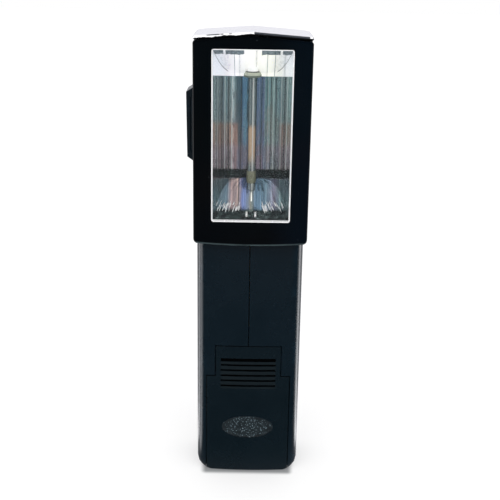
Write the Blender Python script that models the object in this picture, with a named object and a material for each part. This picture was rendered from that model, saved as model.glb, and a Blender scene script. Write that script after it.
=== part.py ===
"""Electronic camera flash, standing upright on the end of its handle.

The handle holds two cells behind a sliding door, the head holds a tall reflector behind a clear
window, and a connector arm folds out of the head's side. Metres, +Z up, the window faces -Y,
the origin is the centre of the base. Written for Blender 4.5.
"""

import math

import bmesh
import bpy
from mathutils import Matrix, Vector

MM = 0.001

# Clearances and mesh steps
FIT = 0.3 * MM
SLIP = 0.15 * MM
RUNNING = 0.08 * MM
SEAM = 0.3 * MM
OVERCUT = 4.0 * MM
EMBED = 0.5 * MM
CORNER_STEPS = 4
CROWN_STEPS = 6
ROUND_STEPS = 20

# Handle
HANDLE_WIDTH = 39.2 * MM
HANDLE_DEPTH = 25.0 * MM
HANDLE_CORNER = 4.5 * MM
HANDLE_CROWN = 0.6 * MM
FOOT_RADIUS = 4.6 * MM
WALL = 2.0 * MM
FLOOR = 1.8 * MM
TAB_REACH = 5.0 * MM
TAB_WIDTH = 8.0 * MM

# Head
HEAD_SIDE = 0.9 * MM
HEAD_WIDTH = HANDLE_WIDTH + 2 * HEAD_SIDE
HEAD_BASE = 95.7 * MM
HEAD_HEIGHT = 73.1 * MM
HEAD_OVERHANG = 4.5 * MM
GABLE_RISE = 1.5 * MM
GABLE_DROP = 0.7 * MM
SHELL_STEP = 0.3 * MM
CAP_THICKNESS = 1.2 * MM
CAP_SETBACK = 0.35 * MM
CAP_PEG_RADIUS = 1.2 * MM
CAP_PEG_LENGTH = 2.6 * MM
CAP_PEG_SPREAD = 10.0 * MM

# Bezel, window and lens
BEZEL_DEPTH = 3.5 * MM
BEZEL_PLATE = 2.0 * MM
BEZEL_WALL = 1.6 * MM
BEZEL_EDGE = 0.7 * MM
BEZEL_TOP_CORNER = 1.2 * MM
BEZEL_LOW_CORNER = 1.8 * MM
INNER_CORNER = 0.8 * MM
BEZEL_LIP_WALL = 1.0 * MM
BEZEL_LIP_REACH = 1.2 * MM
BEZEL_FRAME = 6.4 * MM
WINDOW_WIDTH = HEAD_WIDTH - 2 * BEZEL_FRAME
WINDOW_HEIGHT = 60.7 * MM
WINDOW_RISE = 8.2 * MM
WINDOW_BASE = HEAD_BASE + WINDOW_RISE
RIM_WALL = 0.45 * MM
RIM_SETBACK = 0.1 * MM
RIM_LEDGE = 0.4 * MM
LENS_THICKNESS = 0.9 * MM
LENS_SETBACK = 0.35 * MM

# Reflector and flash tube
REFLECTOR_WALL = 0.9 * MM
REFLECTOR_GAP = 1.9 * MM
REFLECTOR_MARGIN = 0.5 * MM
REFLECTOR_TOP_FLARE = 9.9 * MM
REFLECTOR_LOW_FLARE = 11.7 * MM
REFLECTOR_FLANGE = 1.4 * MM
TROUGH_STEPS = 24
TROUGH_POWER = 4.5
TUBE_STANDOFF = 3.1 * MM
TUBE_RADIUS = 1.5 * MM
TUBE_TAIL = 3.2 * MM
SEAL_RADIUS = 3.2 * MM
SEAL_FACE = 0.6 * MM
BEAD_RADIUS = 2.1 * MM
BEAD_LENGTH = 4.6 * MM
LEAD_RADIUS = 0.4 * MM
LEAD_RISE = 1.8 * MM

# Battery door
DOOR_SIDE = 3.6 * MM
DOOR_WIDTH = HANDLE_WIDTH - 2 * DOOR_SIDE
DOOR_HEIGHT = 41.2 * MM
TONGUE_STEP = 3.5 * MM
TONGUE_WIDTH = DOOR_WIDTH - 2 * TONGUE_STEP
TONGUE_HEIGHT = 12.5 * MM
DOOR_THICKNESS = 2.0 * MM
DOOR_LIFT = 0.5 * MM
DOOR_LIP_THICKNESS = 0.9 * MM
DOOR_LIP_GRIP = 0.65 * MM
DOOR_LIP_DEPTH = 3.6 * MM
DOOR_WEB = 1.4 * MM
CATCH_WIDTH = 8.0 * MM
CATCH_HEIGHT = 2.0 * MM
GRIP_MARGIN = 2.0 * MM
GRIP_WIDTH = TONGUE_WIDTH - 2 * GRIP_MARGIN
GRIP_TOP = 48.4 * MM
GRIP_PITCH = 2.15 * MM
GRIP_GROOVES = 6
GRIP_GROOVE = 0.9 * MM
GRIP_DEPTH = 0.7 * MM
OVAL_WIDTH = 19.8 * MM
OVAL_HEIGHT = 9.2 * MM
OVAL_LEVEL = 19.6 * MM
OVAL_DEPTH = 0.3 * MM

# Cells, cradle and contacts
CRADLE_WALL = 1.2 * MM
CRADLE_DIVIDER = 0.9 * MM
CELL_PLAY = 0.725 * MM
CRADLE_HALF = HANDLE_WIDTH / 2 - WALL - FIT - CRADLE_WALL
CELL_RADIUS = (CRADLE_HALF - CRADLE_DIVIDER / 2) / 2 - CELL_PLAY
CELL_LENGTH = 50.0 * MM
CELL_NUB = 1.0 * MM
CELL_NUB_RADIUS = 2.7 * MM
CELL_SPREAD = CRADLE_DIVIDER / 2 + CELL_PLAY + CELL_RADIUS
CELL_INSET = 3.4 * MM
CELL_DEPTH = CELL_INSET + CELL_RADIUS - HANDLE_DEPTH / 2
CONTACT_THICKNESS = 0.5 * MM
CONTACT_WIDTH = 11.0 * MM
CONTACT_DEPTH = 10.0 * MM
CONTACT_CORNER = 1.5 * MM
ROLLED_EDGE = 0.6 * MM

# Circuit board and what it carries
BOARD_THICKNESS = 1.2 * MM
BOARD_ROOM = 8.9 * MM
BOARD_FACE = HANDLE_DEPTH / 2 - BOARD_ROOM
BOARD_RISE = 65.9 * MM
BOARD_MARGIN = 0.5 * MM
CAPACITOR_CLEAR = 1.0 * MM
CAPACITOR_RADIUS = (BOARD_FACE - FIT - CAPACITOR_CLEAR + HANDLE_DEPTH / 2 - WALL) / 2
CAPACITOR_LENGTH = 33.0 * MM
CAPACITOR_GAP = 1.6 * MM
CAPACITOR_PLACE = CAPACITOR_RADIUS + CAPACITOR_GAP + WALL - HANDLE_WIDTH / 2
CORE_WIDTH = 13.0 * MM
CORE_HEIGHT = 16.0 * MM
CORE_DEPTH = 6.0 * MM
CORE_LIMB = 2.4 * MM
WINDING_DEPTH = 11.0 * MM
CORE_GAP = 2.1 * MM
TRANSFORMER_PLACE = HANDLE_WIDTH / 2 - WALL - CORE_GAP - CORE_WIDTH / 2
TRANSFORMER_RISE = 14.5 * MM
COIL_RADIUS = 3.0 * MM
COIL_LENGTH = 9.0 * MM
COIL_RISE = 5.5 * MM
COIL_SHIFT = 3.0 * MM
COIL_PLACE = TRANSFORMER_PLACE - COIL_SHIFT
RECTIFIER_RADIUS = 1.4 * MM
RECTIFIER_LENGTH = 6.0 * MM
RECTIFIER_GAP = 2.6 * MM
TRANSISTOR_WIDTH = 7.0 * MM
TRANSISTOR_HEIGHT = 8.5 * MM
TRANSISTOR_DEPTH = 3.0 * MM

# Back of the head and handle: lamp, button, switch and blank plate
CONTROL_RISE = 9.4 * MM
CONTROL_LEVEL = HEAD_BASE + CONTROL_RISE
CONTROL_INSET = 11.5 * MM
CONTROL_SPREAD = HEAD_WIDTH / 2 - CONTROL_INSET
LAMP_RADIUS = 1.8 * MM
LAMP_LENGTH = 8.0 * MM
JEWEL_RADIUS = 2.0 * MM
JEWEL_PROUD = 0.4 * MM
BUTTON_RADIUS = 3.0 * MM
BUTTON_PROUD = 1.2 * MM
BUTTON_TRAVEL = 1.0 * MM
BUTTON_STEM_RADIUS = 1.5 * MM
CONTROL_FLANGE = 0.8 * MM
FLANGE_MARGIN = 1.0 * MM
LEAF_WIDTH = 4.0 * MM
LEAF_HEIGHT = 9.0 * MM
LEAF_THICKNESS = 0.4 * MM
LEAF_FOOT = 2.0 * MM
SWITCH_DROP = 15.5 * MM
SWITCH_LEVEL = HEAD_BASE - SWITCH_DROP
SWITCH_INSET = 10.6 * MM
SWITCH_PLACE = HANDLE_WIDTH / 2 - SWITCH_INSET
SWITCH_TRAVEL = 3.0 * MM
KNOB_WIDTH = 7.0 * MM
KNOB_HEIGHT = 5.0 * MM
KNOB_PROUD = 1.3 * MM
KNOB_STEM_WIDTH = 3.0 * MM
KNOB_STEM_HEIGHT = 3.0 * MM
KNOB_RIDGES = 3
KNOB_GROOVE = 0.4 * MM
SWITCH_BODY_WIDTH = 13.0 * MM
SWITCH_BODY_HEIGHT = 6.0 * MM
PLATE_MARGIN = 6.5 * MM
PLATE_WIDTH = HEAD_WIDTH - 2 * PLATE_MARGIN
PLATE_HEIGHT = 46.0 * MM
PLATE_RISE = 17.4 * MM
PLATE_BASE = HEAD_BASE + PLATE_RISE
PLATE_THICKNESS = 0.6 * MM
PLATE_RECESS = 0.9 * MM
PLATE_CORNER = 2.0 * MM

# Connector arm on the head's side
ARM_RISE = 28.5 * MM
ARM_LOW = HEAD_BASE + ARM_RISE
ARM_HEIGHT = 26.8 * MM
ARM_WIDTH = 12.0 * MM
ARM_PROUD_TOP = 3.0 * MM
ARM_PROUD_LOW = 2.7 * MM
ARM_INSET = 2.3 * MM
ARM_CHAMFER = 1.9 * MM
ARM_HEEL = 1.4 * MM
ARM_GROOVE = 0.5 * MM
HINGE_DROP = 3.3 * MM
HINGE_INSET = 0.2 * MM
PIN_RADIUS = 0.8 * MM
PIN_END = 1.0 * MM
POCKET_WALL = 1.2 * MM
POCKET_DEPTH = 4.0 * MM
WASHER_RADIUS = 2.0 * MM
WASHER_THICKNESS = 0.5 * MM
BLADE_WIDTH = 6.0 * MM
BLADE_THICKNESS = 0.9 * MM
BLADE_CLEAR = 0.8 * MM
BLADE_ROOT = 1.6 * MM
BLADE_RISE = 3.3 * MM
BLADE_SWEEP = 2.6 * MM
BLADE_SHIFT = 0.7 * MM
BLADE_CORNER = 0.8 * MM

# Screws that join the two halves
SCREW_REAR_INSET = 4.6 * MM
SCREW_FRONT_INSET = 5.1 * MM
SCREW_LOW_RISE = 6.5 * MM
SCREW_MIDDLE_DROP = 3.0 * MM
SCREW_HIGH_RISE = 66.9 * MM
SCREW_FRONT_RISE = 3.9 * MM
SCREW_RADIUS = 1.0 * MM
SCREW_LENGTH = 26.0 * MM
SCREW_HEAD_RADIUS = 1.9 * MM
SCREW_HEAD_HEIGHT = 1.2 * MM
SCREW_SINK = 1.5 * MM
SCREW_SLOT = 0.44 * MM
SCREW_SLOT_DEPTH = 0.6 * MM
BOSS_RADIUS = 2.5 * MM

# Ribs behind the cradle, and posts behind the board as (height, distance from the seam)
RIB_LEVELS = (10.0 * MM, 44.0 * MM)
RIB_START = 3.0 * MM
RIB_WIDTH = 10.0 * MM
RIB_THICKNESS = 1.2 * MM
POST_SIZE = 3.0 * MM
POST_DROP = 25.5 * MM
POST_RISE = 53.4 * MM
POSTS = (
    (HEAD_BASE - POST_DROP, HANDLE_WIDTH / 2 - WALL - 1.5 * POST_SIZE),
    (HEAD_BASE + POST_RISE, HEAD_WIDTH / 2 - 3 * POST_SIZE),
)

# Places that follow from the sizes above
HANDLE_FRONT = -HANDLE_DEPTH / 2
BACK = HANDLE_DEPTH / 2
INNER_BACK = BACK - WALL
HEAD_FRONT = HANDLE_FRONT - HEAD_OVERHANG
BEZEL_REAR = HEAD_FRONT + BEZEL_DEPTH
BEZEL_BACK = HEAD_FRONT + BEZEL_PLATE
HEAD_JOINT = BEZEL_REAR + FIT
SHELL_HALF = HEAD_WIDTH / 2 - SHELL_STEP
INNER_HALF = HANDLE_WIDTH / 2 - WALL
RIDGE = HEAD_BASE + HEAD_HEIGHT + GABLE_RISE
DOOR_BACK = HANDLE_FRONT + DOOR_THICKNESS
CELL_BASE = FLOOR + 2 * FIT + CONTACT_THICKNESS
CRADLE_BACK = CELL_DEPTH + CELL_RADIUS + FIT
CRADLE_ROOF = CELL_BASE + CELL_LENGTH + 2 * FIT + CONTACT_THICKNESS
BOARD_BASE = CRADLE_ROOF + CRADLE_WALL + FIT
BOARD_BACK = BOARD_FACE + BOARD_THICKNESS
TRANSFORMER_LEVEL = BOARD_BASE + TRANSFORMER_RISE
COIL_LEVEL = TRANSFORMER_LEVEL + CORE_HEIGHT / 2 + COIL_RISE
SCREW_REAR = BACK - SCREW_REAR_INSET
SCREW_FRONT = HANDLE_FRONT + SCREW_FRONT_INSET
REFLECTOR_FRONT = BEZEL_BACK + REFLECTOR_WALL
REFLECTOR_VERTEX = BOARD_FACE - REFLECTOR_GAP - REFLECTOR_WALL
REFLECTOR_DEPTH = REFLECTOR_VERTEX - REFLECTOR_FRONT
REFLECTOR_HALF = WINDOW_WIDTH / 2 - REFLECTOR_MARGIN
TUBE_DEPTH = REFLECTOR_VERTEX - TUBE_STANDOFF
WINDOW_TOP = WINDOW_BASE + WINDOW_HEIGHT
TROUGH_TOP = WINDOW_TOP - REFLECTOR_MARGIN - REFLECTOR_TOP_FLARE
TROUGH_BASE = WINDOW_BASE + REFLECTOR_MARGIN + REFLECTOR_LOW_FLARE
TUBE_SHARE = TUBE_STANDOFF / REFLECTOR_DEPTH
TUBE_TOP = TROUGH_TOP + REFLECTOR_TOP_FLARE * TUBE_SHARE + TUBE_TAIL
TUBE_BASE = TROUGH_BASE - REFLECTOR_LOW_FLARE * TUBE_SHARE - TUBE_TAIL
ARM_TOP = ARM_LOW + ARM_HEIGHT
ARM_FRONT = HEAD_JOINT + BEZEL_LIP_REACH + 2 * FIT + POCKET_WALL
ARM_BACK = ARM_FRONT + ARM_WIDTH
POCKET_FRONT = ARM_FRONT - FIT
POCKET_BACK = ARM_BACK + 2 * FIT + WASHER_THICKNESS
POCKET_FLOOR = -SHELL_HALF + POCKET_DEPTH
HINGE_X = -SHELL_HALF + HINGE_INSET
HINGE_Z = ARM_TOP - HINGE_DROP
BLADE_Y = (ARM_FRONT + ARM_BACK) / 2 + BLADE_SHIFT
BLADE_Z = ARM_LOW + BLADE_RISE
BLADE_SHARE = (REFLECTOR_VERTEX - BLADE_Y + BLADE_WIDTH / 2) / REFLECTOR_DEPTH
BLADE_TIP = -REFLECTOR_HALF * BLADE_SHARE ** (1 / TROUGH_POWER) - REFLECTOR_WALL - BLADE_CLEAR
BOARD_HEAD_WIDTH = 2 * (-POCKET_FLOOR - POCKET_WALL - BOARD_MARGIN)

# Screws as places in the side view (y, z)
SCREWS = {
    "housing_screw_rear_low": (SCREW_REAR, CRADLE_ROOF + SCREW_LOW_RISE),
    "housing_screw_rear_middle": (SCREW_REAR, HEAD_BASE - SCREW_MIDDLE_DROP),
    "housing_screw_rear_high": (SCREW_REAR, HEAD_BASE + SCREW_HIGH_RISE),
    "housing_screw_front": (SCREW_FRONT, HEAD_BASE + SCREW_FRONT_RISE),
}

# Finishes: base colour, roughness, metallic, alpha
FINISHES = {
    "satin_plastic": ((0.010, 0.016, 0.022, 1.0), 0.42, 0.0, 1.0),
    "gloss_plastic": ((0.004, 0.005, 0.006, 1.0), 0.12, 0.0, 1.0),
    "bright_trim": ((0.86, 0.87, 0.89, 1.0), 0.14, 1.0, 1.0),
    "mirror_metal": ((0.80, 0.82, 0.84, 1.0), 0.08, 1.0, 1.0),
    "clear_lens": ((0.95, 0.97, 1.0, 1.0), 0.05, 0.0, 0.25),
    "tube_glass": ((0.85, 0.87, 0.86, 1.0), 0.08, 0.0, 0.4),
    "silicone": ((0.30, 0.32, 0.26, 1.0), 0.55, 0.0, 1.0),
    "tinned_steel": ((0.56, 0.56, 0.54, 1.0), 0.30, 1.0, 1.0),
    "cell_sleeve": ((0.05, 0.09, 0.22, 1.0), 0.35, 0.0, 1.0),
    "grey_plastic": ((0.10, 0.10, 0.11, 1.0), 0.50, 0.0, 1.0),
    "board": ((0.24, 0.13, 0.04, 1.0), 0.55, 0.0, 1.0),
    "ferrite": ((0.035, 0.032, 0.030, 1.0), 0.60, 0.0, 1.0),
    "winding_tape": ((0.60, 0.42, 0.05, 1.0), 0.45, 0.0, 1.0),
    "amber": ((0.80, 0.22, 0.02, 1.0), 0.15, 0.0, 1.0),
    "blank_plate": ((0.16, 0.17, 0.18, 1.0), 0.35, 1.0, 1.0),
}


def clear_scene():
    """Take every object out of the open scene."""
    for item in list(bpy.data.objects):
        bpy.data.objects.remove(item, do_unlink=True)


def finish(name):
    """The Principled material of one finish, made at its first use."""
    if name in bpy.data.materials:
        return bpy.data.materials[name]
    colour, roughness, metallic, alpha = FINISHES[name]
    material = bpy.data.materials.new(name)
    material.use_nodes = True
    shader = material.node_tree.nodes["Principled BSDF"]
    shader.inputs["Base Color"].default_value = colour
    shader.inputs["Roughness"].default_value = roughness
    shader.inputs["Metallic"].default_value = metallic
    shader.inputs["Alpha"].default_value = alpha
    return material


def arc(centre, radius, start, end, steps=CORNER_STEPS):
    """Points of an arc, from start to end in degrees."""
    angles = [math.radians(start + (end - start) * step / steps) for step in range(steps + 1)]
    return [(centre[0] + radius * math.cos(a), centre[1] + radius * math.sin(a)) for a in angles]


def circle(centre, radius, steps=ROUND_STEPS):
    """Points of a full circle."""
    return arc(centre, radius, 0, 360, steps)[:-1]


def rectangle(low, high):
    """Corners of a rectangle."""
    return [low, (high[0], low[1]), high, (low[0], high[1])]


def rounded_rectangle(low, high, radius):
    """A rectangle with four equal round corners."""
    left, base = low[0] + radius, low[1] + radius
    right, top = high[0] - radius, high[1] - radius
    points = arc((left, base), radius, 180, 270)
    points += arc((right, base), radius, 270, 360)
    points += arc((right, top), radius, 0, 90)
    points += arc((left, top), radius, 90, 180)
    return points


def offset(outline, distance):
    """A counter-clockwise outline moved outward by distance, or inward if it is negative."""
    moved = []
    for index, point in enumerate(outline):
        here = Vector(point)
        before = (here - Vector(outline[index - 1])).normalized()
        after = (Vector(outline[(index + 1) % len(outline)]) - here).normalized()
        normal = Vector((before.y + after.y, -before.x - after.x)).normalized()
        mitre = distance / max(normal.dot(Vector((after.y, -after.x))), 0.3)
        moved.append(tuple(here + normal * mitre))
    return moved


def placed(axis, point, level):
    """A point of an outline at a level along an axis."""
    u, v = point
    return {"X": (level, u, v), "Y": (u, level, v), "Z": (u, v, level)}[axis]


def solid(mesh, name):
    """An object of a finished bmesh, its faces turned outward."""
    bmesh.ops.recalc_face_normals(mesh, faces=mesh.faces)
    data = bpy.data.meshes.new(name)
    mesh.to_mesh(data)
    mesh.free()
    item = bpy.data.objects.new(name, data)
    bpy.context.scene.collection.objects.link(item)
    return item


def loft(axis, sections, ring=False, name="tool"):
    """A solid through outlines of equal count, each given with its level; a ring has no end caps."""
    mesh = bmesh.new()
    loops = [[mesh.verts.new(placed(axis, p, level)) for p in outline] for outline, level in sections]
    pairs = list(zip(loops, loops[1:]))
    if ring:
        pairs.append((loops[-1], loops[0]))
    for near, far in pairs:
        for index in range(len(near)):
            after = (index + 1) % len(near)
            mesh.faces.new((near[index], near[after], far[after], far[index]))
    if not ring:
        mesh.faces.new(loops[0])
        mesh.faces.new(loops[-1])
    return solid(mesh, name)


def prism(axis, outline, low, high, name="tool"):
    """An outline drawn out along an axis."""
    return loft(axis, [(outline, low), (outline, high)], name=name)


def box(low, high, name="tool"):
    """A block between two corners."""
    return prism("Z", rectangle(low[:2], high[:2]), low[2], high[2], name)


def block(xs, ys, zs):
    """A block from its range along each axis."""
    return prism("Z", rectangle((min(xs), ys[0]), (max(xs), ys[1])), zs[0], zs[1])


def rod(axis, centre, radius, low, high, name="tool", steps=ROUND_STEPS):
    """A round bar along an axis."""
    return prism(axis, circle(centre, radius, steps), low, high, name)


def turned(axis, centre, profile, name="tool", steps=ROUND_STEPS, ring=False):
    """A turned piece from its radii and levels along an axis."""
    return loft(axis, [(circle(centre, r, steps), level) for r, level in profile], ring, name)


def combine(target, tools, operation):
    """Boolean the tools into the target one after another, keep the result and delete the tools."""
    for tool in tools:
        modifier = target.modifiers.new(operation.lower(), "BOOLEAN")
        modifier.operation = operation
        modifier.solver = "EXACT"
        modifier.object = tool
    graph = bpy.context.evaluated_depsgraph_get()
    result = bpy.data.meshes.new_from_object(target.evaluated_get(graph))
    target.modifiers.clear()
    target.data = result
    for tool in tools:
        bpy.data.objects.remove(tool, do_unlink=True)
    return target


def join(target, *tools):
    """Union the tools into the target."""
    return combine(target, tools, "UNION")


def cut(target, *tools):
    """Take the tools out of the target."""
    return combine(target, tools, "DIFFERENCE")


def keep(target, *tools):
    """Keep what the target shares with each tool."""
    return combine(target, tools, "INTERSECT")


def complete(item, name, finish_name, origin=(0.0, 0.0, 0.0), smooth=35.0):
    """Name a piece, give it its finish and shading, and put its origin in place."""
    item.name = name
    item.data.name = name
    item.data.materials.clear()
    item.data.materials.append(finish(finish_name))
    item.data.shade_smooth()
    item.data.set_sharp_from_angle(angle=math.radians(smooth))
    item.data.transform(Matrix.Translation(-Vector(origin)))
    item.location = origin
    return item


def handle_outline():
    """Plan of the handle: a slightly bowed front and four round corners."""
    straight = HANDLE_WIDTH / 2 - HANDLE_CORNER
    shoulder = HANDLE_FRONT + HANDLE_CROWN
    points = arc((-straight, shoulder + HANDLE_CORNER), HANDLE_CORNER, 180, 270)
    for step in range(1, CROWN_STEPS):
        share = 2 * step / CROWN_STEPS - 1
        points.append((straight * share, HANDLE_FRONT + HANDLE_CROWN * share**2))
    points += arc((straight, shoulder + HANDLE_CORNER), HANDLE_CORNER, 270, 360)
    points += arc((straight, BACK - HANDLE_CORNER), HANDLE_CORNER, 0, 90)
    points += arc((-straight, BACK - HANDLE_CORNER), HANDLE_CORNER, 90, 180)
    return points


def handle_form(top):
    """The handle's outer form up to a height, its two lower side edges rounded in the front view."""
    outline = handle_outline()
    sections = []
    for lean, level in arc((0.0, FOOT_RADIUS), FOOT_RADIUS, 270, 360):
        narrow = 1 - 2 * (FOOT_RADIUS - lean) / HANDLE_WIDTH
        sections.append(([(x * narrow, y) for x, y in outline], level))
    sections.append((outline, top))
    return loft("Z", sections)


def head_plan(half, front, back, corner):
    """Plan of the head: square in front, round corners behind."""
    points = [(-half, front), (half, front)]
    points += arc((half - corner, back - corner), corner, 0, 90)
    points += arc((-half + corner, back - corner), corner, 90, 180)
    return points


def gable(drop, low):
    """A wide block under the head's shallow roof, drop below its surface."""
    half = HEAD_WIDTH
    slope = 2 * GABLE_RISE / HEAD_WIDTH
    ridge = RIDGE - drop
    outline = [(-half, low), (half, low), (half, ridge - slope * half), (0.0, ridge)]
    outline.append((-half, ridge - slope * half))
    return prism("Y", outline, HEAD_FRONT - OVERCUT, BACK + OVERCUT)


def head_face(margin, drop, sag=GABLE_DROP):
    """Front view of the head drawn in by a margin, its ridge drop below the top, its chin sagging."""
    half = HEAD_WIDTH / 2 - margin
    low = HEAD_BASE + margin
    eaves = RIDGE - drop - GABLE_RISE
    low_corner = max(BEZEL_LOW_CORNER - margin, INNER_CORNER)
    top_corner = max(BEZEL_TOP_CORNER - margin, INNER_CORNER)
    points = arc((-half + low_corner, low + low_corner), low_corner, 180, 270)
    points.append((0.0, low - sag))
    points += arc((half - low_corner, low + low_corner), low_corner, 270, 360)
    points += arc((half - top_corner, eaves - top_corner), top_corner, 0, 90)
    points.append((0.0, RIDGE - drop))
    points += arc((-half + top_corner, eaves - top_corner), top_corner, 90, 180)
    return points


def door_face(grow):
    """Front view of the door with its narrower tongue, grown all round by a clearance."""
    wide, narrow = DOOR_WIDTH / 2 + grow, TONGUE_WIDTH / 2 + grow
    step, top = DOOR_HEIGHT + grow, DOOR_HEIGHT + TONGUE_HEIGHT + grow
    low = DOOR_LIFT - grow
    if grow > 0:
        low = -OVERCUT
    return [
        (-wide, low), (wide, low), (wide, step), (narrow, step),
        (narrow, top), (-narrow, top), (-narrow, step), (-wide, step),
    ]


def door_paths():
    """Notches in the floor that let the door's side lips and catch slide out."""
    inner = DOOR_WIDTH / 2 - EMBED - DOOR_WEB - FIT
    outer = DOOR_WIDTH / 2 + SLIP + DOOR_LIP_GRIP + FIT
    lips = (DOOR_BACK, HANDLE_FRONT + DOOR_LIP_DEPTH + DOOR_LIP_THICKNESS + FIT)
    catch = (DOOR_BACK, DOOR_BACK + HANDLE_CROWN + DOOR_LIP_THICKNESS + 2 * FIT)
    half = CATCH_WIDTH / 2 + FIT
    height = (-OVERCUT, FLOOR + FIT)
    return [
        block((-outer, -inner), lips, height), block((inner, outer), lips, height),
        block((-half, half), catch, height),
    ]


def make_shell():
    """Both halves of the housing as one: outer form, hollow, door opening and door paths."""
    shell = handle_form(HEAD_BASE + WALL)
    roof = CAP_THICKNESS + SLIP
    head = prism("Z", head_plan(SHELL_HALF, HEAD_JOINT, BACK, HANDLE_CORNER), HEAD_BASE, RIDGE)
    join(shell, keep(head, gable(roof, HEAD_BASE - OVERCUT)))
    hollow = prism("Z", offset(handle_outline(), -WALL), FLOOR, HEAD_BASE + WALL + OVERCUT)
    plan = head_plan(SHELL_HALF - WALL, HEAD_FRONT - OVERCUT, INNER_BACK, HANDLE_CORNER - WALL)
    head_hollow = prism("Z", plan, HEAD_BASE + WALL, RIDGE)
    keep(head_hollow, gable(roof + WALL, HEAD_BASE))
    opening = prism("Y", door_face(SLIP), HANDLE_FRONT - OVERCUT, DOOR_BACK + HANDLE_CROWN + FIT)
    return cut(shell, hollow, head_hollow, opening, *door_paths())


def seam_plan(shift):
    """Plan of the left half's side of the seam, with its locating tab, moved right by a shift."""
    far, near = -HEAD_WIDTH, -SEAM / 2 + shift
    tab, half = near + TAB_REACH, TAB_WIDTH / 2 + shift
    return [
        (far, far), (near, far), (near, -half), (tab, -half),
        (tab, half), (near, half), (near, -far), (far, -far),
    ]


def back_cutters():
    """Openings in the back: plate recess, lamp hole, button hole and switch slot."""
    half = PLATE_WIDTH / 2 + SLIP
    low, high = PLATE_BASE - SLIP, PLATE_BASE + PLATE_HEIGHT + SLIP
    outline = rounded_rectangle((-half, low), (half, high), PLATE_CORNER)
    through = (INNER_BACK - OVERCUT / 2, BACK + OVERCUT)
    slot = (KNOB_STEM_WIDTH / 2 + FIT, KNOB_STEM_HEIGHT / 2 + FIT)
    return [
        prism("Y", outline, BACK - PLATE_RECESS, BACK + OVERCUT),
        rod("Y", (-CONTROL_SPREAD, CONTROL_LEVEL), JEWEL_RADIUS + RUNNING, *through),
        rod("Y", (CONTROL_SPREAD, CONTROL_LEVEL), BUTTON_RADIUS + RUNNING, *through),
        box((SWITCH_PLACE - SWITCH_TRAVEL / 2 - slot[0], through[0], SWITCH_LEVEL - slot[1]),
            (SWITCH_PLACE + SWITCH_TRAVEL / 2 + slot[0], through[1], SWITCH_LEVEL + slot[1])),
    ]


def half_fittings(side):
    """Ribs, posts and screw bosses of one half, side -1 for left and +1 for right."""
    wall = INNER_BACK + EMBED
    blocks = []
    near, far = side * RIB_START, side * (RIB_START + RIB_WIDTH)
    for level in RIB_LEVELS:
        depth = (CRADLE_BACK + CRADLE_WALL + FIT, wall)
        blocks.append(block((near, far), depth, (level, level + RIB_THICKNESS)))
    for level, place in POSTS:
        near, far = side * (place - POST_SIZE / 2), side * (place + POST_SIZE / 2)
        blocks.append(block((near, far), (BOARD_BACK + FIT, wall), (level, level + POST_SIZE)))
    for place in SCREWS.values():
        outer = SHELL_HALF - WALL if place[1] > HEAD_BASE + WALL else INNER_HALF
        reach = sorted((side * SEAM / 2, side * (outer + EMBED)))
        blocks.append(rod("X", place, BOSS_RADIUS, *reach))
    return blocks


def screw_seat(place):
    """The outer side face at a screw's height."""
    return SHELL_HALF if place[1] > HEAD_BASE else HANDLE_WIDTH / 2


def make_housing_left():
    """Left half: carries the connector pocket, takes the screws' threads."""
    half = keep(make_shell(), prism("Z", seam_plan(0.0), -OVERCUT, RIDGE + OVERCUT))
    tub = box((-SHELL_HALF + EMBED, POCKET_FRONT - POCKET_WALL, ARM_LOW - FIT - POCKET_WALL),
              (POCKET_FLOOR + POCKET_WALL, POCKET_BACK + POCKET_WALL, ARM_TOP + FIT + POCKET_WALL))
    join(half, tub, *half_fittings(-1))
    tools = back_cutters()
    depth, height = (POCKET_FRONT, POCKET_BACK), (ARM_LOW - FIT, ARM_TOP + FIT)
    tools.append(block((-HEAD_WIDTH, POCKET_FLOOR), depth, height))
    wide, tall = BLADE_WIDTH / 2 + FIT, BLADE_THICKNESS / 2 + FIT
    depth, height = (BLADE_Y - wide, BLADE_Y + wide), (BLADE_Z - tall - BLADE_SWEEP, BLADE_Z + tall)
    tools.append(block((POCKET_FLOOR - OVERCUT / 4, POCKET_FLOOR + OVERCUT), depth, height))
    pin_low, pin_high = POCKET_FRONT - PIN_END - FIT, POCKET_BACK + PIN_END + FIT
    tools.append(rod("Y", (HINGE_X, HINGE_Z), PIN_RADIUS + RUNNING, pin_low, pin_high))
    for place in SCREWS.values():
        depth = screw_seat(place) - SCREW_SINK - SCREW_HEAD_HEIGHT - SCREW_LENGTH
        tools.append(rod("X", place, SCREW_RADIUS + RUNNING, depth - FIT, OVERCUT))
    for peg in (-CAP_PEG_SPREAD, CAP_PEG_SPREAD):
        tools.append(rod("Z", (peg, 0.0), CAP_PEG_RADIUS + SLIP, RIDGE - 3 * OVERCUT, RIDGE))
    cut(half, *tools)
    return complete(half, "housing_left", "satin_plastic")


def make_housing_right():
    """Right half: the screws' heads sink in its side."""
    half = cut(make_shell(), prism("Z", seam_plan(SEAM), -OVERCUT, RIDGE + OVERCUT))
    join(half, *half_fittings(1))
    tools = back_cutters()
    for place in SCREWS.values():
        seat = screw_seat(place) - SCREW_SINK - SCREW_HEAD_HEIGHT - FIT
        tools.append(rod("X", place, SCREW_RADIUS + RUNNING, -OVERCUT, seat + OVERCUT / 4))
        tools.append(rod("X", place, SCREW_HEAD_RADIUS + SLIP, seat, HEAD_WIDTH))
    for peg in (-CAP_PEG_SPREAD, CAP_PEG_SPREAD):
        tools.append(rod("Z", (peg, 0.0), CAP_PEG_RADIUS + SLIP, RIDGE - 3 * OVERCUT, RIDGE))
    cut(half, *tools)
    return complete(half, "housing_right", "satin_plastic")


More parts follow.
